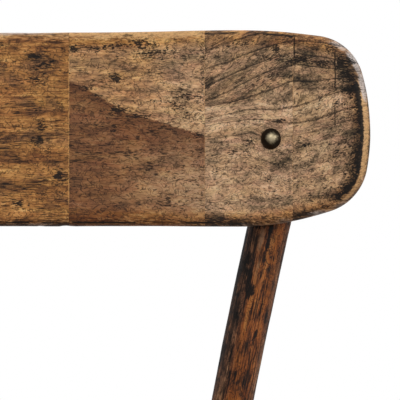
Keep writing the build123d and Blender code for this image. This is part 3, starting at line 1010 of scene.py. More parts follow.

# %% [markdown]
# Dirt, a painted shadow, a painted sheen, cracks, painted shade and saw lines are short lists of marks,
# each with a size and a strength. They were placed from enlarged crops of the photograph, and adjusted
# by comparing renders with it.

# %% Dirt, dust and cracks of the staves
# Dirt, and round the bolt's head a painted shadow: picture x and y, half-length and half-height in
# pixels, strength
SMUDGES_AND_SHADE = (
    (35, 56, 11, 4, 0.75), (38, 67, 6, 3, 0.7), (45, 64.5, 6, 3, 0.75), (53, 61.5, 7, 3, 0.65),
    (36, 80, 16, 7, 0.5),
    (36, 110, 7, 3, 0.6), (41, 126, 5, 6, 0.6), (38, 141, 11, 6, 0.62), (60, 176, 8, 8, 0.7),
    (58, 198, 9, 6, 0.5), (20, 204, 9, 4, 0.5), (8, 47, 10, 4, 0.4), (74, 49, 12, 4, 0.65),
    (95, 49, 16, 4, 0.6), (118, 46, 18, 4, 0.6), (142, 44, 12, 5, 0.7), (154, 53, 26, 8, 0.5),
    (172, 54, 14, 7, 0.4), (160, 62, 12, 5, 0.4), (115, 78, 8, 4, 0.7), (85, 88, 10, 3, 0.6),
    (98, 96, 10, 3, 0.6), (118, 109.5, 9, 4, 0.75), (140, 117, 15, 3.5, 0.6), (113, 128, 5, 7, 0.5),
    (84, 125, 14, 3, 0.4), (98, 128, 12, 2.5, 0.4), (152, 100, 10, 4, 0.45), (186, 95, 16, 7, 0.52),
    (178, 106, 17, 7, 0.5), (190, 117, 10, 6, 0.48), (198, 135, 8, 3, 0.5), (196, 108, 6, 10, 0.35),
    (202, 50, 3, 12, 0.5), (202, 80, 3, 14, 0.5), (247, 43, 14, 4, 0.5), (232, 46, 10, 5, 0.4),
    (276, 49, 3.5, 4, 0.85), (222, 55, 10, 5, 0.4), (266, 58, 13, 4, 0.55), (284, 60, 13, 4.5, 0.7),
    (300, 60, 16, 4.5, 0.75), (320, 63, 18, 4, 0.7), (276, 68, 14, 5, 0.4), (318, 49, 14, 3, 0.45),
    (331, 48, 9, 3.5, 0.6), (343, 63, 11, 8, 0.75), (347, 76, 9, 10, 0.75), (350, 90, 11, 4, 0.7),
    (340, 84, 8, 8, 0.45), (336, 104, 5, 9, 0.4), (342, 118, 12, 5, 0.45), (345, 132, 12, 5, 0.4),
    (306, 145, 8, 2.5, 0.65), (331, 144, 10, 2.5, 0.55), (334, 153, 10, 6, 0.4), (290, 144, 8, 4, 0.4),
    (249, 142, 7, 5, 0.55), (244, 150, 10, 4, 0.35), (282, 164, 9, 16, 0.27), (269, 179, 4, 2.5, 0.7),
    (216, 174, 6, 8, 0.4), (214, 164, 6, 4, 0.3), (307, 201, 4, 4, 0.45), (277, 121, 11, 2.5, 0.6),
    # On the next line, the second mark is a painted shadow round the bolt's head
    (252, 118, 16, 2.5, 0.35), (270, 136, 13, 12, 0.2),
)
SMUDGE_AND_SHADE_GAIN = 1.4
# Greyer, darker patches with rather straight borders, given in the same way
GREY_PATCHES = (
    (280.5, 164, 10.5, 17, 0.26), (278, 97, 14, 5, 0.10), (182, 66, 12, 14, 0.06), (312, 76, 20, 9, 0.03),
    (347, 70, 11, 19, 0.13), (328, 140, 18, 14, 0.07), (30, 70, 20, 10, 0.06), (34, 132, 22, 12, 0.05),
)
# A painted sheen on the outermost edge, pale grey, given in the same way
SHEEN_MARKS = (
    (15, 32.5, 45, 3, 0.6), (338, 46, 14, 7, 0.6), (356, 61, 10, 11, 1.1), (365, 84, 8, 15, 1.1),
    (369, 112, 6, 10, 0.3), (369, 150, 5, 25, 0.25), (366, 182, 6, 12, 0.45), (346, 204, 14, 6, 0.45),
    (318, 214, 18, 4.5, 0.5), (290, 220.5, 20, 3, 0.36), (30, 226, 40, 4, 0.4), (240, 225, 30, 4, 0.35),
)
# Dark lines along the lower and the upper edge, painted shade along the lower one and cracks along the
# upper one: picture x from, to, strength
LOWER_SHADE_LINES = ((4, 30, 0.9), (40, 56, 0.5), (72, 136, 1.0), (150, 168, 0.4), (184, 214, 0.7))
UPPER_CRACKS = ((60, 70, 0.5), (120, 135, 0.5), (202, 238, 0.6), (250, 262, 0.5), (262, 297, 1.1))
# Dirt inside the right end: picture y, and how far it reaches in, in millimetres
END_DIRT = (
    (80, 0.0), (88, 4.5), (94, 3.0), (110, 2.4), (126, 2.8), (137, 1.5), (146, 1.7),
    (154, 4.2), (166, 4.2), (173, 3.2), (179, 1.4), (186, 3.6), (193, 2.4), (203, 0.0),
)
# Upright lines on the end stave: picture x, y from, y to, strength
SAW_LINES = ((294.3, 36, 57, 0.9), (335.0, 50, 88, 0.75), (335.0, 100, 128, 0.65), (336.0, 150, 190, 0.4))
END_DIRT_SEEN_X = 358
END_DIRT_INSET = 5.0
OVAL_FALL = 0.7
PATCH_SQUARENESS = 6
SAW_LINE_REACH = 6.0
print("smudges:", len(SMUDGES_AND_SHADE), "patches:", len(GREY_PATCHES), "dust:", len(SHEEN_MARKS))

# %% [markdown]
# The lists above are places of the picture. `seen_at` carries them onto the bent plank, and numpy works
# out how strongly each mark covers every point of a stave. This could be painted by hand in Blender, but
# then the marks couldn't be read or moved.

# %% Lay soft marks


def mark_span(x, z, spot, half_length, half_height, power=2):
    """How far points lie from a mark's middle: one at its edge, more outside."""
    lengthways = (x - spot[0]) / (half_length * PIXEL)
    upwards = (z - spot[1]) / (half_height * PIXEL)
    return lengthways**power + upwards**power


def ovals(x, z, marks):
    """How strongly soft ovals, placed in the picture, cover each point."""
    total = np.zeros(len(x))
    for picture_x, picture_y, length, height, strength in marks:
        span = mark_span(x, z, seen_at(picture_x, picture_y), length, height)
        total = np.maximum(total, strength * np.exp(-span * OVAL_FALL))
    return total


def patches(x, z, marks):
    """The same with squarer marks, added up."""
    total = np.zeros(len(x))
    for picture_x, picture_y, length, height, strength in marks:
        span = mark_span(x, z, seen_at(picture_x, picture_y), length, height, PATCH_SQUARENESS)
        total = total + strength * np.exp(-span)
    return total


print("marks are measured in pixels of", PIXEL, "mm")

# %% [markdown]
# Other marks follow a line: the edge, a year line, the border of the heartwood or the trace of a saw. For
# these each point needs its place beside the line, and a smooth curve through a few places gives it.

# %% Lay lines, cracks and end dirt


def rim_distance(x, z):
    """How far points lie inside the plank's outline."""
    fine = spaced(np.vstack([plank_rim, plank_rim[:1]]), 0.4)
    tree = kdtree.KDTree(len(fine))
    for index, point in enumerate(fine):
        tree.insert((*point, 0), index)
    tree.balance()
    return np.array([tree.find((across, up, 0))[2] for across, up in zip(x, z)])


def picture_curve(points, x):
    """A smooth line through places of the picture, as the plank's z at each x."""
    known_x, known_z = np.array([seen_at(*point) for point in points]).T
    slopes = np.gradient(known_z, known_x)
    spot = np.clip(np.searchsorted(known_x, x) - 1, 0, len(known_x) - 2)
    width = known_x[spot + 1] - known_x[spot]
    share = np.clip((x - known_x[spot]) / width, 0, 1)
    straight = known_z[spot] * (1 - share) + known_z[spot + 1] * share
    rise = known_z[spot + 1] - known_z[spot]
    first, second = slopes[spot] * width - rise, rise - slopes[spot + 1] * width
    return straight + share * (1 - share) * (first * (1 - share) + second * share)


def year_count(x, z):
    """How many of the right staves' year lines a point lies below, with its share of the next."""
    heights = [picture_curve(line, x) for line in YEAR_LINES]
    count = (heights[0] - z) / YEAR_STEP
    for index, (upper, lower) in enumerate(zip(heights[:-1], heights[1:])):
        share = (upper - z) / (upper - lower)
        count = np.where(share > 0, index + np.minimum(share, 1), count)
    return count


def stave_grain(number, x, z):
    """Places along and across a stave's grain, and the count of its years."""
    if number in FANNED_STAVES:
        count = year_count(x, z)
        return x, -count * YEAR_STEP, count
    turn = math.radians(STAVE_TILT[number - 1])
    lengthways = x * math.cos(turn) + z * math.sin(turn)
    across = z * math.cos(turn) - x * math.sin(turn)
    return lengthways, across, across / RING_STEP


def end_dirt(x, z, edge):
    """Black dirt just inside the right end, ragged towards the middle, and a wider darkening."""
    depths = [-seen_at(END_DIRT_SEEN_X, level)[1] for level, reach in END_DIRT]
    reach = np.interp(-z, depths, [reach for level, reach in END_DIRT])
    present = soft_step(reach, 0.2, 1.2) * soft_step(x, 165, 185)
    reach = np.maximum(reach + 0.9 * wobble(z, 0.5, 7.0), 0.3)
    inner = edge - END_DIRT_INSET
    solid = 1.3 * (1 - soft_step(inner, 0.3 * reach, 0.8 + 1.2 * reach))
    loose = 0.92 * np.clip(1 - inner / (6.0 + 3.0 * reach), 0, 1)
    inside = present * soft_step(edge + 0.6 * wobble(z, 0.8, 3.0), 3.9, 5.1)
    return inside * np.maximum(solid, loose), inside * (1 - soft_step(edge, 7, 17))


def edge_cracks_and_shade(x, z):
    """How strongly a dark line runs along the edge: painted shade below, a crack above."""
    crack_and_shade = np.zeros(len(x))
    for marks, half in ((LOWER_SHADE_LINES, z < 0), (UPPER_CRACKS, z > 0)):
        for start, end, strength in marks:
            begin, finish = seen_x(start), seen_x(end)
            span = soft_step(x, begin - 2, begin + 3) * (1 - soft_step(x, finish - 3, finish + 2))
            crack_and_shade = np.maximum(crack_and_shade, strength * span * half)
    return crack_and_shade


def saw_marks(x, z):
    """The distance from the end stave's upright lines, with a sign, and their strength."""
    first, second = (seen_x(line[0]) for line in SAW_LINES[:2])
    aside = np.minimum(x - first, second - x)
    strength = np.zeros(len(x))
    for picture_x, start, end, amount in SAW_LINES:
        high, low = seen_at(picture_x, start)[1], seen_at(picture_x, end)[1]
        near = np.abs(x - seen_x(picture_x)) < SAW_LINE_REACH
        span = soft_step(z, low - 2, low + 2) * (1 - soft_step(z, high - 2, high + 2))
        strength = np.maximum(strength, amount * span * near)
    return aside, strength


print("the plank's outline runs to x =", np.round(plank_rim[:, 0].max(), 1))

# %% [markdown]
# Each stave then gets its look in three steps: what its own board is like, how its edges are rubbed and
# where painted shade darkens them, and the dirt, painted shade, painted sheen and glue on it.

# %% The look of a stave's board and edges
HEART_DEPTH = 70
HEART_LEFT_DEPTH = 22
EDGE_RUB, TOP_RUB, END_RUB = 0.30, 0.62, 1.2


def board_look(number, x, z):
    """Tone and warmth of a stave's board, and how far below the edge of the heartwood points lie."""
    tone = np.full(len(x), STAVE_TONE[number - 1])
    warmth = np.full(len(x), STAVE_WARMTH[number - 1])
    below = np.full(len(x), NO_HEART)
    if number == HEART_STAVE:
        below = np.clip(picture_curve(HEART_LINE, x) - z, NO_HEART, HEART_DEPTH)
        rightwards = soft_step(x, 45, 95)
        pale = soft_step(-z, -12, 36) * rightwards
        tone = tone + 0.12 * pale - 0.11 * np.exp(-np.abs(below - 2.5) / 3)
        deepest = HEART_LEFT_DEPTH + (HEART_DEPTH - HEART_LEFT_DEPTH) * rightwards
        below = np.where(below > 0, np.minimum(below + 35 * pale, deepest), below)
        warmth = warmth - 0.35 * soft_step(x, 60, 112)
    if number in DARK_FLOOR:
        depth = picture_curve(DARK_FLOOR[number], x) - z
        tone = tone - 0.16 * (1 - soft_step(depth, -0.8, 0.8))
        warmth = warmth + 0.04 * (1 - soft_step(depth, -0.8, 0.8))
        tone = tone + 0.15 * soft_step(depth, -0.5, 1.5) * (1 - soft_step(depth, 7, 18))
    grey = patches(x, z, GREY_PATCHES)
    return tone - grey, warmth - 2 * grey, below


def worn_look(x, z, edge, tone, warmth):
    """Tone and warmth with worn edges and painted shade below, and how much each point is rubbed."""
    rim = 1 - soft_step(edge, 1.5, 8.5)
    end_rub = soft_step(x, 185, 205) * soft_step(-z, -40, -20) * (1 - 0.55 * soft_step(-z, 10, 35))
    top_rub = soft_step(z, 10, 50) * (1 - soft_step(x, 98, 124)) * (0.45 + 0.55 * soft_step(x, 5, 45))
    outermost = 1 - soft_step(edge, 0.7, 2.6)
    rub = rim * (EDGE_RUB + TOP_RUB * top_rub + END_RUB * end_rub * (1 - outermost))
    # The outermost rim of the right end is made darker and greyer
    tone = tone - 0.30 * end_rub * outermost
    warmth = warmth - 0.5 * end_rub * outermost
    # Painted shade, with some dirt: the lower rounded edge is darkened
    tone = tone - 0.40 * rim * soft_step(-z, 30, 50)
    warmth = warmth + 0.6 * (1 - soft_step(edge, 5, 13))
    return tone, warmth, rub


print("tones of the boards:", min(STAVE_TONE), "to", max(STAVE_TONE))

# %% [markdown]
# Two staves at the same place of the noise would look alike, so each is shifted along and across its
# grain. A stave is painted in the plank's own frame, then stood up and handed over for its node.

# %% Finish the staves
STAVE_SHIFT = (310.0, 57.0)
END_HAZE = 0.28
WIDE_GLUE_SEAM = SEAMS[3]
THIN_GLUE = 0.24


def glue_distance(x, edge):
    """How far points lie from a glue line. The widest shows most, and none shows near the edge."""
    asides = [np.abs(x - seam) + (0.0 if seam == WIDE_GLUE_SEAM else THIN_GLUE) for seam in SEAMS]
    return np.min(asides, axis=0) + 1 - soft_step(edge, 8, 16)


def paint_stave(stave, number):
    """Writes the grain, look and marks of a back stave."""
    x, y, z = points_of(stave).T
    lengthways, across, count = stave_grain(number, x, z)
    edge = rim_distance(x, z)
    tone, warmth, below = board_look(number, x, z)
    tone, warmth, rub = worn_look(x, z, edge, tone, warmth)
    end_stain, end_haze = end_dirt(x, z, edge)
    # Dirt, and a painted shadow round the bolt's head
    stain_and_shade = np.maximum(SMUDGE_AND_SHADE_GAIN * ovals(x, z, SMUDGES_AND_SHADE), end_stain)
    # Painted sheen on the outermost edge of the front
    sheen = ovals(x, z, SHEEN_MARKS) * (1 - soft_step(y - plank_face(x), 4, 9))
    aside, sawn = saw_marks(x, z) if number == END_STAVE else (FAR, 0.0)
    rings_shown = np.full(len(x), STAVE_RINGS[number - 1])
    if number in FANNED_STAVES:
        rings_shown = rings_shown * (0.25 + 0.75 * soft_step(z, -6, 6))
    paint_wood(
        stave,
        grain=(lengthways + STAVE_SHIFT[0] * number, across + STAVE_SHIFT[1] * number, y),
        look=(tone - END_HAZE * end_haze, warmth, rub),
        mark=(stain_and_shade, below, np.minimum(glue_distance(x, edge), FAR)),
        rim=(np.minimum(edge, FAR), edge_cracks_and_shade(x, z), sheen),
        lines=(aside, sawn, count),
        ring=rings_shown,
    )


plank_matrix = Matrix(plank_axes.T.tolist()).to_4x4()
plank_matrix.translation = plank_origin * MM
for number, stave in enumerate(back_staves, start=1):
    paint_stave(stave, number)
    stave.data.transform(plank_matrix)
    finish_piece(stave, back_wood, "back_stave_%d" % number)
print("back staves finished:", len(back_staves))

# %% [markdown]
# ## Sticks
# Posts, legs and stretchers are all round bars whose thickness follows a rule, so one Geometry Nodes
# tree makes them: a curve from start to end, drawn towards a middle point, a radius at the foot, the belly
# and the top, a swelling between two tenons, and a slow unevenness left by the lathe. Ten cylinders
# could be shaped by hand, but here a size is one number.

# %% The stick tree
SHAPE = "NodeSocketGeometry"
VECTOR = "NodeSocketVector"
NUMBER = "NodeSocketFloat"
FINISH = "NodeSocketMaterial"
STICK_INPUTS = {
    "Start": VECTOR,
    "Middle": VECTOR,
    "End": VECTOR,
    "Foot Radius": NUMBER,
    "Belly Radius": NUMBER,
    "Top Radius": NUMBER,
    "Belly Place": NUMBER,
    "Swelling": NUMBER,
    "Tenon Share": NUMBER,
    "Unevenness": NUMBER,
    "Seed": NUMBER,
    "Material": FINISH,
}
STICK_LENGTHWAYS = 160
STICK_AROUND = 56
LATHE_NOISE = 55.0


def new_tree(name, inputs):
    """A geometry tree with named inputs, and a wire for each of them."""
    tree = bpy.data.node_groups.new(name, "GeometryNodeTree")
    for title, kind in inputs.items():
        tree.interface.new_socket(name=title, in_out="INPUT", socket_type=kind)
    tree.interface.new_socket(name="Geometry", in_out="OUTPUT", socket_type=SHAPE)
    entry = tree.nodes.new("NodeGroupInput")
    return tree, {title: Wire(tree, entry.outputs[title]) for title in inputs}


def hand_out(tree, shape, material):
    """Ends a tree: real meshes with their material."""
    shape = shape.add("GeometryNodeRealizeInstances", None, {"Geometry": shape})
    shape = shape.add("GeometryNodeSetMaterial", None, {"Geometry": shape, "Material": material})
    leave = tree.nodes.new("NodeGroupOutput")
    tree.links.new(shape.socket, leave.inputs["Geometry"])


def stick_tree():
    tree, given = new_tree("stick", STICK_INPUTS)
    wire = Wire(tree)
    course = {point: given[point] for point in ("Start", "Middle", "End")}
    course["Resolution"] = STICK_LENGTHWAYS
    path = wire.add("GeometryNodeCurveQuadraticBezier", None, course)
    share = wire.add("GeometryNodeSplineParameter", None, None, "Factor")
    belly = given["Belly Place"]
    foot_part = given["Foot Radius"] * ((share - belly) * (share - 1)) / belly
    belly_part = given["Belly Radius"] * (share * (share - 1)) / (belly * (belly - 1))
    top_part = given["Top Radius"] * (share * (share - belly)) / (1 - belly)
    between = ((share - given["Tenon Share"]) / (1 - given["Tenon Share"] * 2)).clamp()
    wave = between.math("SINE", between * math.pi)
    radius = foot_part + belly_part + top_part + given["Swelling"] * wave * wave
    circle = wire.add("GeometryNodeCurvePrimitiveCircle", None, {"Resolution": STICK_AROUND, "Radius": 1.0})
    sweep = {"Curve": path, "Profile Curve": circle, "Scale": radius, "Fill Caps": True}
    skin = wire.add("GeometryNodeCurveToMesh", None, sweep)
    position = wire.add("GeometryNodeInputPosition")
    bumps = {"Vector": position, "W": given["Seed"], "Scale": LATHE_NOISE, "Detail": 1.0}
    noise_height = wire.add("ShaderNodeTexNoise", {"noise_dimensions": "4D"}, bumps, "Fac")
    push = (noise_height - 0.5) * given["Unevenness"]
    normal = wire.add("GeometryNodeInputNormal")
    offset = wire.add("ShaderNodeVectorMath", {"operation": "SCALE"}, {0: normal, "Scale": push})
    skin = wire.add("GeometryNodeSetPosition", None, {"Geometry": skin, "Offset": offset})
    hand_out(tree, skin, given["Material"])
    return tree


stick_nodes = stick_tree()
print("stick tree inputs:", len(STICK_INPUTS))

# %% [markdown]
# The tree's result is kept as a plain mesh, so that later cuts work on real points. Its grain follows the
# straight line from the stick's foot to its top, and a seed makes every stick another piece of wood.

# %% Make and paint a stick
STICK_UNEVENNESS = 0.5
STICK_RING_STEP = 6.0
STICK_RINGS = 0.25
STICK_SHIFT = (500, 31)


def make_by_tree(name, tree, values, mesh=None):
    """Runs a geometry tree with named inputs and keeps the result as a plain mesh."""
    piece = bpy.data.objects.new(name, mesh or bpy.data.meshes.new(name))
    bpy.context.scene.collection.objects.link(piece)
    step = piece.modifiers.new("tree", "NODES")
    step.node_group = tree
    for item in tree.interface.items_tree:
        if item.in_out == "INPUT" and item.name in values:
            step[item.identifier] = values[item.name]
    piece.data.update()
    baked(piece)
    return piece


def make_stick(name, start, middle, end, radii, belly_place=0.5, swelling=0.0, tenon_share=0.0, seed=0.0):
    values = {
        "Start": (np.asarray(start) * MM).tolist(),
        "Middle": (np.asarray(middle) * MM).tolist(),
        "End": (np.asarray(end) * MM).tolist(),
        "Foot Radius": radii[0] * MM,
        "Belly Radius": radii[1] * MM,
        "Top Radius": radii[2] * MM,
        "Belly Place": belly_place,
        "Swelling": swelling * MM,
        "Tenon Share": tenon_share,
        "Unevenness": STICK_UNEVENNESS * MM,
        "Seed": seed,
        "Material": stick_wood,
    }
    stick = make_by_tree(name, stick_nodes, values)
    merge_close(stick)
    return stick


def paint_stick(stick, start, end, seed, tone, warmth, stain_and_shade=0.0, rub=0.0):
    """Grain along a stick, measured from its own middle line."""
    points = points_of(stick)
    along = unit(end - start)
    side = unit(np.cross(along, [0.0, 1.0, 0.0]))
    other = np.cross(along, side)
    offset = points - start
    aside = offset @ side
    paint_wood(
        stick,
        grain=(offset @ along + STICK_SHIFT[0] * seed, aside + STICK_SHIFT[1] * seed, offset @ other),
        look=(tone, warmth, rub),
        mark=(stain_and_shade, NO_HEART, FAR),
        rim=(FAR, 0.0, 0.0),
        lines=(FAR, 0.0, aside / STICK_RING_STEP),
        ring=STICK_RINGS,
    )


print("sticks have", STICK_AROUND, "points around")

# %% [markdown]
# ## Back posts
# Each post bends a little on its way up, passes behind the plank and ends in a rounded top. The picture
# shows the right one, with streaks of soot, a painted highlight below the plank and painted shade on its
# left flank. Its marks are measured from the leaning middle line, so that they follow the post.

# %% Marks on the posts
POST_BEHIND = 45.0
POST_SOOT_AND_SHADE_GAIN = 1.75
# Soot on the post, and painted shade on its left flank: picture x and y, half-width and half-length in
# pixels, strength
POST_SOOT_AND_SHADE = (
    (269, 230, 1.9, 8, 0.9), (266.5, 243, 1.7, 9, 0.9), (263, 257, 1.0, 8, 0.7), (272, 258, 0.9, 9, 0.5),
    # On the next line the last three marks are painted shade, with soot, on the post's left flank
    (260, 272, 0.9, 9, 0.5), (249, 290, 3.6, 7, 0.9), (247, 258, 4.0, 11, 0.55), (247, 275, 3.5, 9, 0.55),
    (264, 293, 0.9, 10, 0.65), (259, 309, 0.9, 9, 0.5), (254.5, 335, 1.2, 9, 0.85),
    (250, 318, 0.9, 12, 0.45), (237, 312, 2.0, 14, 0.45), (227.5, 372, 1.3, 9, 0.65),
    (234.5, 372, 1.1, 9, 0.55), (243, 377, 1.3, 9, 0.65), (230, 350, 2.0, 12, 0.5),
    (238, 346, 1.0, 9, 0.5), (253, 358, 1.0, 10, 0.5), (256, 226, 8.0, 3, 0.5),
)
# Painted highlights on the post, given in the same way
POST_HIGHLIGHTS = ((261, 236, 2.6, 13, 1.0), (257, 262, 1.8, 14, 0.7))
# From the first of these places of the picture up to the second, the painted shade on the post's left
# flank gets darker
POST_SHADE_SEEN = ((246, 312), (249, 286))
LINE_POINTS = 40
post_end = post_turn(BOLT_HEIGHT) + POST_PAST_BOLT / POST_BEND


def mirrored(point, side):
    return np.asarray(point) * [side, 1, 1]


def leaning_ovals(x, z, lean, marks):
    """Ovals along a post: each place is measured from the post's leaning middle line."""
    order = np.argsort(z)
    total = np.zeros(len(x))
    for picture_x, picture_y, width, length, strength in marks:
        spot_x, spot_z = seen_at(picture_x, picture_y, POST_BEHIND)
        aside = spot_x - np.interp(spot_z, z[order], lean[order])
        span = mark_span(x - lean, z, (aside, spot_z), width, length)
        total = np.maximum(total, strength * np.exp(-span * OVAL_FALL))
    return total


def paint_post(post, side, foot, end):
    """Soot, painted highlights, painted shade on the left flank, painted light and a painted sheen."""
    x, y, z = to_plank(points_of(post)).T
    turns = np.linspace(0, post_end, LINE_POINTS)
    line = to_plank([mirrored(post_middle(turn), side) for turn in turns])
    lean = np.interp(z, line[:, 2], line[:, 0])
    stain_and_shade = POST_SOOT_AND_SHADE_GAIN * leaning_ovals(x * side, z, lean * side, POST_SOOT_AND_SHADE)
    # Painted highlights along the post
    rub = leaning_ovals(x * side, z, lean * side, POST_HIGHLIGHTS)
    across = (x - lean) / POST_RADIUS
    upper = soft_step(z, *(seen_at(*spot, POST_BEHIND)[1] for spot in POST_SHADE_SEEN))
    # Painted shade on the left flank, deeper higher up, painted light towards the right, and flanks made
    # greyer as a painted sheen
    painted_shade_flank = (0.15 + 0.20 * upper) * soft_step(-across, 0.05, 0.60)
    tone = 0.545 - painted_shade_flank + 0.05 * soft_step(across, 0.0, 0.4)
    warmth = 0.95 - 0.7 * soft_step(-across, 0.15, 0.65) - 0.5 * soft_step(across, 0.6, 0.95)
    paint_stick(post, foot, end, 1.0 + side, tone, warmth, stain_and_shade, rub)


print("marks on a post:", len(POST_SOOT_AND_SHADE) + len(POST_HIGHLIGHTS))

# %% [markdown]
# The front of a post is cut away where the plank lies against it. A flat cut would touch the bent plank
# only along a line, so the cutter is the plank's own back, a tenth of a millimetre larger. A wider hole
# behind takes the washer and nut, and the foot is a thinner tenon in the seat.

# %% Make the posts
POST_BELOW_FOOT = 6.0
POST_TENON = 10.0
POST_TENON_DOWN, POST_TENON_UP = 50, 20
POST_END_ROUND = 5.0
POST_END_STEPS = 6
COUNTERBORE_RADIUS = 6.5
COUNTERBORE_DEPTH = 6.0
BORE_PAST = 20
LAP_GAP = 0.1
BOLT_HEAD_RADIUS = 6.5
ROOM = 400
SHADOW_PLAN = [(-300, -200), (300, -200)]
SHADOW_TURNS = np.linspace(math.radians(50), math.radians(130), 161)
post_start = -POST_BELOW_FOOT / POST_BEND


def level_block(name, low, high):
    """A block wider than the chair, between two heights."""
    return block(name, (-ROOM, -ROOM, low), (ROOM, ROOM, high))


def plank_shadow():
    """The plank's bent back face as a solid, from the plank's lower edge upwards."""
    radius = PLANK_BEND + PLANK_THICKNESS + LAP_GAP
    arc = [(radius * math.cos(turn), radius * math.sin(turn) - PLANK_BEND) for turn in SHADOW_TURNS]
    solid = prism("plank_shadow", SHADOW_PLAN + arc, -PLANK_DROP, 3 * PLANK_RISE)
    solid.data.transform(plank_matrix)
    return solid


def bolt_line(side):
    """Where a bolt's head sits on the plank's front, and the way its shank runs."""
    local = to_plank(mirrored(bolt_point, side))
    outward = unit(np.array([local[0], local[1] + PLANK_BEND, 0.0]))
    seat = np.array([0, -PLANK_BEND, local[2]]) + outward * math.sqrt(PLANK_BEND**2 - BOLT_HEAD_RADIUS**2)
    return from_plank(seat), outward @ plank_axes


def round_tip(post, tip):
    """Rounds the edge of the end face nearest to a point."""
    near = Vector(tip * MM)
    with reshaped(post) as shape:
        end_face = min(shape.faces, key=lambda face: (face.calc_center_median() - near).length)
        bmesh.ops.bevel(
            shape,
            geom=list(end_face.edges),
            offset=POST_END_ROUND * MM,
            segments=POST_END_STEPS,
            profile=0.5,
            affect="EDGES",
        )


def make_post(name, side):
    start = mirrored(post_middle(post_start), side)
    end = mirrored(post_middle(post_end), side)
    halfway = mirrored(post_middle((post_start + post_end) / 2), side)
    middle = 2 * halfway - (start + end) / 2
    post = make_stick("post_piece_" + name, start, middle, end, (POST_RADIUS,) * 3, seed=2.0 + side)
    round_tip(post, end)
    head_seat, bolt_way = bolt_line(side)
    rear = PLANK_THICKNESS + 2 * POST_RADIUS - POST_LAP
    bore_start = head_seat + bolt_way * (rear - COUNTERBORE_DEPTH)
    bore_end = head_seat + bolt_way * (rear + BORE_PAST)
    counterbore = rod("counterbore", bore_start, bore_end, COUNTERBORE_RADIUS)
    cut(post, "DIFFERENCE", shadow, seat_block, counterbore)
    rise = mirrored(post_rise, side)
    foot = mirrored(POST_FOOT, side)
    tenon = rod("tenon", foot - rise * POST_TENON_DOWN, foot + rise * POST_TENON_UP, POST_TENON)
    cut(tenon, "DIFFERENCE", low_block)
    cut(post, "UNION", tenon)
    discard(counterbore, tenon)
    paint_post(post, side, foot, end)
    finish_piece(post, stick_wood, "back_post_" + name)


shadow = plank_shadow()
seat_block = level_block("seat_block", 0, SEAT_TOP)
low_block = level_block("low_block", 0, SEAT_UNDERSIDE)
for name, side in SIDES:
    make_post(name, side)
discard(shadow, seat_block, low_block)
bolt_lines = [bolt_line(side) for name, side in SIDES]
print("posts finished, bolt heads at", [np.round(seat, 1).tolist() for seat, way in bolt_lines])

# %% [markdown]
# ## Domed bolts
# The bolt heads are cast domes with a low rim, brown with age, with a painted highlight on top. One bolt is
# turned from a profile, and a small Geometry Nodes tree sets a copy on each of two points, turned to run
# through the plank into its post. The square neck is hidden in the plank and left to the construction.

# %% Bolt shape and the tree that sets the bolts
BOLT_HEAD_RISE = 4.0
BOLT_RIM = 0.6
BOLT_SHANK_RADIUS = 2.5
BOLT_LENGTH = 40.5
BOLT_BREAK = 0.15
BOLT_END_BREAK = 0.5
DOME_STEPS = 14
BOLT_INPUTS = {"Geometry": SHAPE, "Size": NUMBER, "Material": FINISH}


def bolt_profile():
    """Radius and distance along the bolt, from the top of its dome to its end."""
    crown = BOLT_HEAD_RISE - BOLT_RIM
    ball = (BOLT_HEAD_RADIUS**2 + crown**2) / (2 * crown)
    widest = math.asin(BOLT_HEAD_RADIUS / ball)
    turns = np.linspace(0, widest, DOME_STEPS + 1)[1:]
    dome = [(ball * math.sin(turn), ball - ball * math.cos(turn) - BOLT_HEAD_RISE) for turn in turns]
    rim = [(BOLT_HEAD_RADIUS, -BOLT_BREAK), (BOLT_HEAD_RADIUS - BOLT_BREAK, 0.0)]
    shank = [(BOLT_SHANK_RADIUS, 0.0), (BOLT_SHANK_RADIUS, BOLT_LENGTH - BOLT_END_BREAK)]
    shank.append((BOLT_SHANK_RADIUS - BOLT_END_BREAK, BOLT_LENGTH))
    return dome + rim + shank


def turned_mesh(name, profile, top, around=72):
    """A profile spun about z, closed at both ends."""
    turns = np.linspace(0, 2 * math.pi, around, endpoint=False)
    points = []
    for radius, along in profile:
        points += [(radius * math.cos(turn), radius * math.sin(turn), along) for turn in turns]
    faces = tube_faces(len(profile), around)[:, ::-1].tolist()
    points.append((0, 0, top))
    crown = len(points) - 1
    faces += [[crown, here, (here + 1) % around] for here in range(around)]
    last = (len(profile) - 1) * around
    faces.append([last + here for here in range(around)])
    piece = link_mesh(name, points, faces)
    face_outwards(piece)
    return piece


def setting_tree(template):
    """Sets a copy of an object on every point, with its z along the point's aim."""
    tree, given = new_tree("bolt_setting", BOLT_INPUTS)
    wire = Wire(tree)
    spots = wire.add("GeometryNodeMeshToPoints", None, {"Mesh": given["Geometry"]})
    settings = {"data_type": "FLOAT_VECTOR"}
    aim = wire.add("GeometryNodeInputNamedAttribute", settings, {"Name": "aim"}, "Attribute")
    turn = wire.add("FunctionNodeAlignRotationToVector", {"axis": "Z"}, {"Vector": aim})
    shape = wire.add("GeometryNodeObjectInfo", None, {"Object": template}, "Geometry")
    placed = {"Points": spots, "Instance": shape, "Rotation": turn, "Scale": given["Size"]}
    bolts = wire.add("GeometryNodeInstanceOnPoints", None, placed)
    hand_out(tree, bolts, given["Material"])
    return tree


print("bolt profile:", len(bolt_profile()), "points")

# %% [markdown]
# ## Old brass
# Dark patina lies at the rim of the head and in the pits, and the crown carries a painted highlight. So the
# finish needs to know how far a point is from the highlight, which sits a little beside the bolt's axis.
# That distance, as a share of the head's radius, is stored on the points.

# %% Brass finish and the bolts
# Where the painted highlight sits on each head, beside the bolt's axis
HIGHLIGHT_SPOT = np.array([1.5, 0.0, 0.35])
BOLT_REACH = 60
FAR_FROM_HIGHLIGHT = 9.0


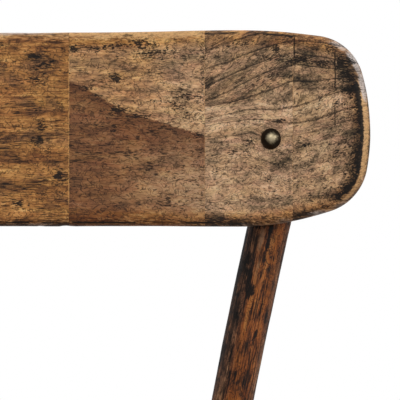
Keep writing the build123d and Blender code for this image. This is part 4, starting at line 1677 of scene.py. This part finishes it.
def brass_finish(name, highlight_colour, aged):
    material, wire, surface = new_finish(name)
    rub = stored(wire, "rub", "Fac")
    place = wire.add("ShaderNodeTexCoord", None, None, "Object")
    pits = place.add("ShaderNodeTexNoise", None, {"Vector": place, "Scale": 900.0, "Detail": 4.0}, "Fac")
    stains = place.add("ShaderNodeTexNoise", None, {"Vector": place, "Scale": 260.0, "Detail": 3.0}, "Fac")
    # Light at the painted highlight, dark with patina away from it
    aged_mask = (rub + (stains - 0.5) * 0.4 + (pits - 0.5) * 0.3).between(0.05, 0.66)
    skin = aged_mask.mix(highlight_colour, aged)
    shine = 0.34 + aged_mask * 0.12 + (pits - 0.5) * 0.15
    bump = pits.add("ShaderNodeBump", None, {"Strength": 0.25, "Distance": 0.0002, "Height": pits})
    feed(wire, surface, Base_Color=skin, Roughness=shine, Normal=bump, Metallic=0.9)
    return material


# The light colour is the painted highlight, the dark one the patina
antique_brass = brass_finish("antique_brass", colour(228, 208, 168), colour(40, 31, 21))
bolt_template = turned_mesh("bolt_template", bolt_profile(), -BOLT_HEAD_RISE)
spot_mesh = bpy.data.meshes.new("bolt_spots")
spot_mesh.from_pydata([(seat * MM).tolist() for seat, way in bolt_lines], [], [])
aims = spot_mesh.attributes.new("aim", "FLOAT_VECTOR", "POINT")
aims.data.foreach_set("vector", np.array([way for seat, way in bolt_lines], np.float32).ravel())
bolt_settings = {"Size": 1.0, "Material": antique_brass}
bolts = make_by_tree("dome_bolt_pair", setting_tree(bolt_template), bolt_settings, spot_mesh)
discard(bolt_template)
bolt_points = points_of(bolts)
rub = np.full(len(bolt_points), FAR_FROM_HIGHLIGHT)
for seat, way in bolt_lines:
    offset = bolt_points - seat
    radial = np.linalg.norm(offset - (offset @ way)[:, None] * way - HIGHLIGHT_SPOT, axis=1)
    near = np.linalg.norm(offset, axis=1) < BOLT_REACH
    rub[near] = radial[near] / BOLT_HEAD_RADIUS
paint_value(bolts, "rub", rub)
finish_piece(bolts, antique_brass, "dome_bolts", 30)
print("bolts:", len(bolts.data.polygons), "faces")

# %% [markdown]
# ## Legs and stretchers
# The legs are turned with a belly above the middle and splay outwards. A tenon goes through the seat.
# Four swelled stretchers tie them together. The tree of the posts makes both. Each leg is made too long
# and then cut level over its glide and under the seat, as a chair maker does it.

# %% Make the legs and stretchers
FRONT_SOCKET, FRONT_FOOT = (134.0, -128.0), (182.0, -222.0)
REAR_SOCKET, REAR_FOOT = (128.0, 96.0), (176.0, 222.0)
LEG_RADII = (12.5, 18.0, 16.0)
LEG_BELLY_HEIGHT = 275.0
LEG_TENON = 12.0
GLIDE_THICKNESS = 5.0
TENON_SINK = 0.2
STRETCHER_TENON = 7.5
STRETCHER_SWELLING = 3.5
STRETCHER_TENON_LENGTH = 24.0
STRETCHER_PAST_AXIS = 2.0
STRETCHER_HEIGHTS = {"side": 168.0, "front": 228.0, "rear": 218.0}
LEG_PAST = 20.0
LEG_TENON_ROOT, LEG_TENON_PAST = 12, 30
LEG_SEED, STRETCHER_SEED = 4.0, 20.0
PLAIN_TONE, PLAIN_WARMTH = 0.50, 0.6
HEADROOM = 200
BELOW_FLOOR = -100
ends = {"front": (FRONT_SOCKET, FRONT_FOOT), "rear": (REAR_SOCKET, REAR_FOOT)}


def leg_point(end, side, height):
    """A point of a leg's middle line at a height."""
    socket, foot = (np.array([place[0] * side, place[1]]) for place in ends[end])
    return np.array([*(foot + (socket - foot) * height / SEAT_TOP), height])


def make_leg(end, name, side, seed):
    low = leg_point(end, side, -LEG_PAST)
    high = leg_point(end, side, SEAT_UNDERSIDE + LEG_PAST)
    belly_place = (LEG_BELLY_HEIGHT + LEG_PAST) / (SEAT_UNDERSIDE + 2 * LEG_PAST)
    piece_name = "%s_leg_piece_%s" % (end, name)
    leg = make_stick(piece_name, low, (low + high) / 2, high, LEG_RADII, belly_place, seed=seed)
    cut(leg, "DIFFERENCE", floor_block, over_shoulder)
    root = leg_point(end, side, SEAT_UNDERSIDE - LEG_TENON_ROOT)
    tenon = rod("tenon", root, leg_point(end, side, SEAT_TOP + LEG_TENON_PAST), LEG_TENON)
    cut(tenon, "DIFFERENCE", over_seat)
    cut(leg, "UNION", tenon)
    discard(tenon)
    paint_stick(leg, low, high, seed, PLAIN_TONE, PLAIN_WARMTH)
    finish_piece(leg, stick_wood, "%s_leg_%s" % (end, name))


def make_rail(name, first, second, height, seed):
    """A stretcher between two legs, each given by its end and side."""
    start, end = leg_point(*first, height), leg_point(*second, height)
    along = unit(end - start)
    start, end = start - along * STRETCHER_PAST_AXIS, end + along * STRETCHER_PAST_AXIS
    rail = make_stick(
        name + "_piece",
        start,
        (start + end) / 2,
        end,
        (STRETCHER_TENON,) * 3,
        swelling=STRETCHER_SWELLING,
        tenon_share=STRETCHER_TENON_LENGTH / np.linalg.norm(end - start),
        seed=seed,
    )
    paint_stick(rail, start, end, seed, PLAIN_TONE, PLAIN_WARMTH)
    finish_piece(rail, stick_wood, name)


floor_block = level_block("floor_block", BELOW_FLOOR, GLIDE_THICKNESS)
over_shoulder = level_block("over_shoulder", SEAT_UNDERSIDE, SEAT_TOP + HEADROOM)
over_seat = level_block("over_seat", SEAT_TOP - TENON_SINK, SEAT_TOP + HEADROOM)
legs = [(end, name, side) for end in ends for name, side in SIDES]
for number, leg in enumerate(legs):
    make_leg(*leg, LEG_SEED + number)
discard(floor_block, over_shoulder, over_seat)
rails = {
    "stretcher_left": (("front", -1), ("rear", -1), "side"),
    "stretcher_right": (("front", 1), ("rear", 1), "side"),
    "stretcher_front": (("front", -1), ("front", 1), "front"),
    "stretcher_rear": (("rear", -1), ("rear", 1), "rear"),
}
for number, (name, (first, second, kind)) in enumerate(rails.items()):
    make_rail(name, first, second, STRETCHER_HEIGHTS[kind], STRETCHER_SEED + number)
print("legs:", len(legs), "stretchers:", len(rails))

# %% [markdown]
# ## The seat
# The seat is a round-cornered slab with a shallow dish, glued up from boards that run front to back.
# The same rings make it. Its spine runs front to back, so that points on the two sides come in pairs.

# %% Seat slab
SEAT_DEPTH = 404.0
SEAT_FRONT_WIDTH, SEAT_REAR_WIDTH = 424.0, 360.0
SEAT_FRONT_BOW, SEAT_REAR_BOW = 12.0, 14.0
SEAT_FRONT_CORNER, SEAT_REAR_CORNER = 58.0, 76.0
SEAT_EDGE_ROUND = 7.0
SEAT_SEAMS = (-154.0, -86.0, -24.0, 34.0, 90.0, 156.0)
DISH_RADIUS, DISH_DEPTH, DISH_MIDDLE = 142.0, 8.0, 8.0
DISH_RIM = 10.0
SEAT_STEP = 3.0
SEAT_FACE_RINGS = 54
SEAT_SPINE_HALF = 60.0
FLANK_PAST = 20
CORNER_POINTS = 60


def bow_line(width, reach, bow):
    """A bowed edge from x = 0 outwards, as points whose y goes from reach back by bow."""
    half = width / 2
    radius = (half**2 + bow**2) / (2 * bow)
    x = np.linspace(0, half, ARC_POINTS)
    return np.column_stack([x, reach - np.sign(reach) * (radius - np.sqrt(radius**2 - x**2))])


def rounded_corner(first, second, radius):
    """Joins two lines that end at a corner with an arc that touches both."""
    corner = first[-1]
    into = unit(first[-2] - first[-1])
    out = unit(second[1] - second[0])
    opening = math.acos(float(np.clip(into @ out, -1, 1)))
    setback = radius / math.tan(opening / 2)
    centre = corner + unit(into + out) * radius / math.sin(opening / 2)
    start = corner + into * setback
    begin = math.atan2(*(start - centre)[::-1])
    finish = math.atan2(*(corner + out * setback - centre)[::-1])
    sweep = (finish - begin + math.pi) % (2 * math.pi) - math.pi
    turns = begin + np.linspace(0, sweep, CORNER_POINTS)
    arc = centre + radius * np.column_stack([np.cos(turns), np.sin(turns)])
    kept_first = first[np.linalg.norm(first - corner, axis=1) > setback]
    kept_second = second[np.linalg.norm(second - corner, axis=1) > setback]
    return np.vstack([kept_first, arc, kept_second])


front_line = bow_line(SEAT_FRONT_WIDTH, -SEAT_DEPTH / 2, SEAT_FRONT_BOW)
rear_line = bow_line(SEAT_REAR_WIDTH, SEAT_DEPTH / 2, SEAT_REAR_BOW)
side_line = np.linspace(front_line[-1], rear_line[-1], ARC_POINTS)
right_half = rounded_corner(front_line, side_line, SEAT_FRONT_CORNER)
right_half = rounded_corner(right_half, rear_line[::-1], SEAT_REAR_CORNER)
flank = right_half[np.abs(right_half[:, 1]) < SEAT_SPINE_HALF + FLANK_PAST]
steps = np.linspace(-SEAT_SPINE_HALF, SEAT_SPINE_HALF, int(2 * SEAT_SPINE_HALF / SEAT_STEP) + 1)
flank = np.column_stack([np.interp(steps, flank[:, 1], flank[:, 0]), steps])
before_flank = right_half[right_half[:, 1] < -SEAT_SPINE_HALF]
after_flank = right_half[right_half[:, 1] > SEAT_SPINE_HALF]
front_part = spaced(np.vstack([before_flank, flank[:1]]), SEAT_STEP)[:-1]
rear_part = spaced(np.vstack([flank[-1:], after_flank]), SEAT_STEP)[1:]
right_rim = np.vstack([front_part, flank, rear_part])
left_rim = right_rim[::-1][1:-1] * [-1, 1]
seat_rim = np.vstack([right_rim, left_rim])
spine_y = np.clip(seat_rim[:, 1], -SEAT_SPINE_HALF, SEAT_SPINE_HALF)
seat_spine = np.column_stack([np.zeros(len(seat_rim)), spine_y])
print("seat outline:", len(seat_rim), "points")

# %% [markdown]
# The height of the top is worked out for every place: level, with a hollow that is part of a large ball.
# It could be sculpted, but it has to agree with the construction.

# %% The seat's rings


def seat_surface(place):
    """The seat's top: level, with a ball-shaped dish whose rim is eased."""
    away = np.linalg.norm(place - [0, DISH_MIDDLE], axis=1)
    ball = (DISH_RADIUS**2 + DISH_DEPTH**2) / (2 * DISH_DEPTH)
    dish = ball - DISH_DEPTH - np.sqrt(np.maximum(ball**2 - away**2, 0))
    slope = DISH_RADIUS / math.sqrt(ball**2 - DISH_RADIUS**2)
    ease = np.clip((away - DISH_RADIUS + DISH_RIM) / (2 * DISH_RIM), 0, 1)
    eased = -slope * DISH_RIM * (1 - ease) ** 2
    dish = np.where(away < DISH_RADIUS - DISH_RIM, np.minimum(dish, 0), eased)
    return SEAT_TOP + np.minimum(dish, 0)


def seat_under(place):
    return np.full(len(place), SEAT_UNDERSIDE)


seat_faces = (seat_surface, seat_under, SEAT_EDGE_ROUND, SEAT_EDGE_ROUND)
seat_rings = slab_rings(seat_rim, seat_spine, *seat_faces, SEAT_FACE_RINGS)
seat_blank = link_mesh("seat_blank", seat_rings.reshape(-1, 3), tube_faces(*seat_rings.shape[:2]))
merge_close(seat_blank)
print("seat blank:", len(seat_blank.data.vertices), "points")

# %% [markdown]
# ## Seat boards
# The boards are the blank cut along straight glue lines. Only two of them hold the sockets of legs and
# posts, which are drilled along each tenon's own axis. Sitting has worn two places in the dish, and dirt
# has gathered round its rim.

# %% Cut the seat into boards with sockets
SOCKET_GAP = 0.1
BOARD_TONE = (0.52, 0.46, 0.57, 0.50, 0.55, 0.45, 0.53)
BOARD_WARMTH = (0.3, 0.7, 0.2, 0.5, 0.3, 0.75, 0.4)
BOARD_RING_STEP = 12.0
BOARD_TILT = (2.0, -3.0, 4.0, -1.5, 2.5, -4.0, 1.0)
WEAR_MIDDLES = ((-70.0, 10.0), (70.0, 10.0))
WEAR_HALF = (90, 110)
BOARD_SHIFT = (400, 71)
BOARD_RINGS = 0.35
BOARD_GLUE = 0.2
SOCKET_BOARDS = (2, 6)
SOCKET_PAST = 30
POST_SOCKET_DOWN = 60
DISH_DIRT, DISH_DIRT_OUT, DISH_DIRT_HALF = 0.30, 12, 16


def seat_sockets():
    holes = []
    for name, side in SIDES:
        rise = mirrored(post_rise, side)
        foot = mirrored(POST_FOOT, side)
        bore = POST_TENON + SOCKET_GAP
        holes.append(rod("socket", foot - rise * POST_SOCKET_DOWN, foot + rise * SOCKET_PAST, bore))
        for end in ends:
            low = leg_point(end, side, SEAT_UNDERSIDE - SOCKET_PAST)
            high = leg_point(end, side, SEAT_TOP + SOCKET_PAST)
            holes.append(rod("socket", low, high, LEG_TENON + SOCKET_GAP))
    return holes


def paint_board(board, number):
    x, y, z = points_of(board).T
    turn = math.radians(BOARD_TILT[number - 1])
    lengthways = y * math.cos(turn) + x * math.sin(turn)
    across = x * math.cos(turn) - y * math.sin(turn)
    worn = np.zeros(len(x))
    for middle_x, middle_y in WEAR_MIDDLES:
        span = ((x - middle_x) / WEAR_HALF[0]) ** 2 + ((y - middle_y) / WEAR_HALF[1]) ** 2
        worn = worn + np.exp(-span)
    from_dish = np.hypot(x, y - DISH_MIDDLE) - DISH_RADIUS - DISH_DIRT_OUT
    stain_and_shade = DISH_DIRT * np.exp(-((from_dish / DISH_DIRT_HALF) ** 2))
    outside = np.array([np.min(np.hypot(*(seat_rim - point).T)) for point in np.column_stack([x, y])])
    glue = np.min([np.abs(x - seam) for seam in SEAT_SEAMS], axis=0)
    rub = 0.45 * (1 - soft_step(outside, 3, 10))
    paint_wood(
        board,
        grain=(lengthways + BOARD_SHIFT[0] * number, across + BOARD_SHIFT[1] * number, z),
        look=(BOARD_TONE[number - 1] + 0.05 * worn, BOARD_WARMTH[number - 1], rub),
        mark=(stain_and_shade, NO_HEART, np.minimum(glue + BOARD_GLUE, FAR)),
        rim=(np.minimum(outside, FAR), 0.0, 0.0),
        lines=(FAR, 0.0, across / BOARD_RING_STEP),
        ring=BOARD_RINGS,
    )


sockets = seat_sockets()
board_edges = (-SEAT_FRONT_WIDTH,) + SEAT_SEAMS + (SEAT_FRONT_WIDTH,)
for number, (left, right) in enumerate(zip(board_edges[:-1], board_edges[1:]), start=1):
    cutter = block("board_cutter", (left, -SEAT_DEPTH, 0), (right, SEAT_DEPTH, 2 * SEAT_TOP))
    board = copied(seat_blank, "seat_board_%d" % number)
    cut(board, "INTERSECT", cutter)
    if number in SOCKET_BOARDS:
        cut(board, "DIFFERENCE", *sockets)
    discard(cutter)
    paint_board(board, number)
    finish_piece(board, seat_wood, "seat_stave_%d" % number)
discard(seat_blank, *sockets)
print("seat boards finished:", len(board_edges) - 1)

# %% [markdown]
# ## Small hardware
# The washers, cap nuts, wedges, glides and nails have the right shape already, so they keep their CAD
# meshes and get a finish each: old brass, pale end grain, moulded nylon and drawn steel.

# %% Finishes for the kept pieces


def plain_finish(name, base, second, scale, roughness, metallic=0.0, relief=0.2):
    """Two colours mixed by noise, with a little relief."""
    material, wire, surface = new_finish(name)
    place = wire.add("ShaderNodeTexCoord", None, None, "Object")
    grains = place.add("ShaderNodeTexNoise", None, {"Vector": place, "Scale": scale, "Detail": 4.0}, "Fac")
    broad = place.add("ShaderNodeTexNoise", None, {"Vector": place, "Scale": scale / 6, "Detail": 2.0}, "Fac")
    skin = (grains * 0.6 + broad * 0.6 - 0.1).clamp().mix(base, second)
    bump = grains.add("ShaderNodeBump", None, {"Strength": relief, "Distance": 0.0002, "Height": grains})
    shine = (grains - 0.5) * 0.2 + roughness
    feed(wire, surface, Base_Color=skin, Roughness=shine, Normal=bump, Metallic=metallic)
    return material


nut_brass = plain_finish("nut_brass", colour(150, 128, 92), colour(62, 50, 36), 500, 0.38, 0.9)
wedge_wood = plain_finish("wedge_wood", colour(176, 134, 88), colour(104, 72, 44), 700, 0.6)
glide_nylon = plain_finish("glide_nylon", colour(52, 43, 37), colour(34, 28, 24), 900, 0.5)
nail_steel = plain_finish("nail_steel", colour(150, 150, 150), colour(96, 96, 98), 800, 0.4, 0.9)
kept = {
    "bolt_washers": nut_brass,
    "cap_nuts": nut_brass,
    "leg_wedges": wedge_wood,
    "post_wedges": wedge_wood,
    "foot_glides": glide_nylon,
    "glide_nails": nail_steel,
}
for node, material in kept.items():
    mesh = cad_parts[node].data
    for slot_number in range(len(mesh.materials)):
        mesh.materials[slot_number] = material
print("kept nodes:", list(kept))

# %% [markdown]
# ## Floor
# The chair stands on a plain pale disc, which is out of sight in the close view. It belongs to the
# studio, not to the chair.

# %% Floor
FLOOR_RADIUS = 1.45
FLOOR_POINTS = 96


def make_floor():
    turns = np.linspace(0, 2 * math.pi, FLOOR_POINTS, endpoint=False)
    points = [(FLOOR_RADIUS * math.cos(turn) / MM, FLOOR_RADIUS * math.sin(turn) / MM, 0) for turn in turns]
    floor = link_mesh("studio_floor", points, [list(range(FLOOR_POINTS))])
    pale, paler = colour(232, 231, 229), colour(238, 237, 235)
    floor.data.materials.append(plain_finish("pale_floor", paler, pale, 30, 0.7, 0.0, 0.0))


make_floor()
print("floor laid")

# %% [markdown]
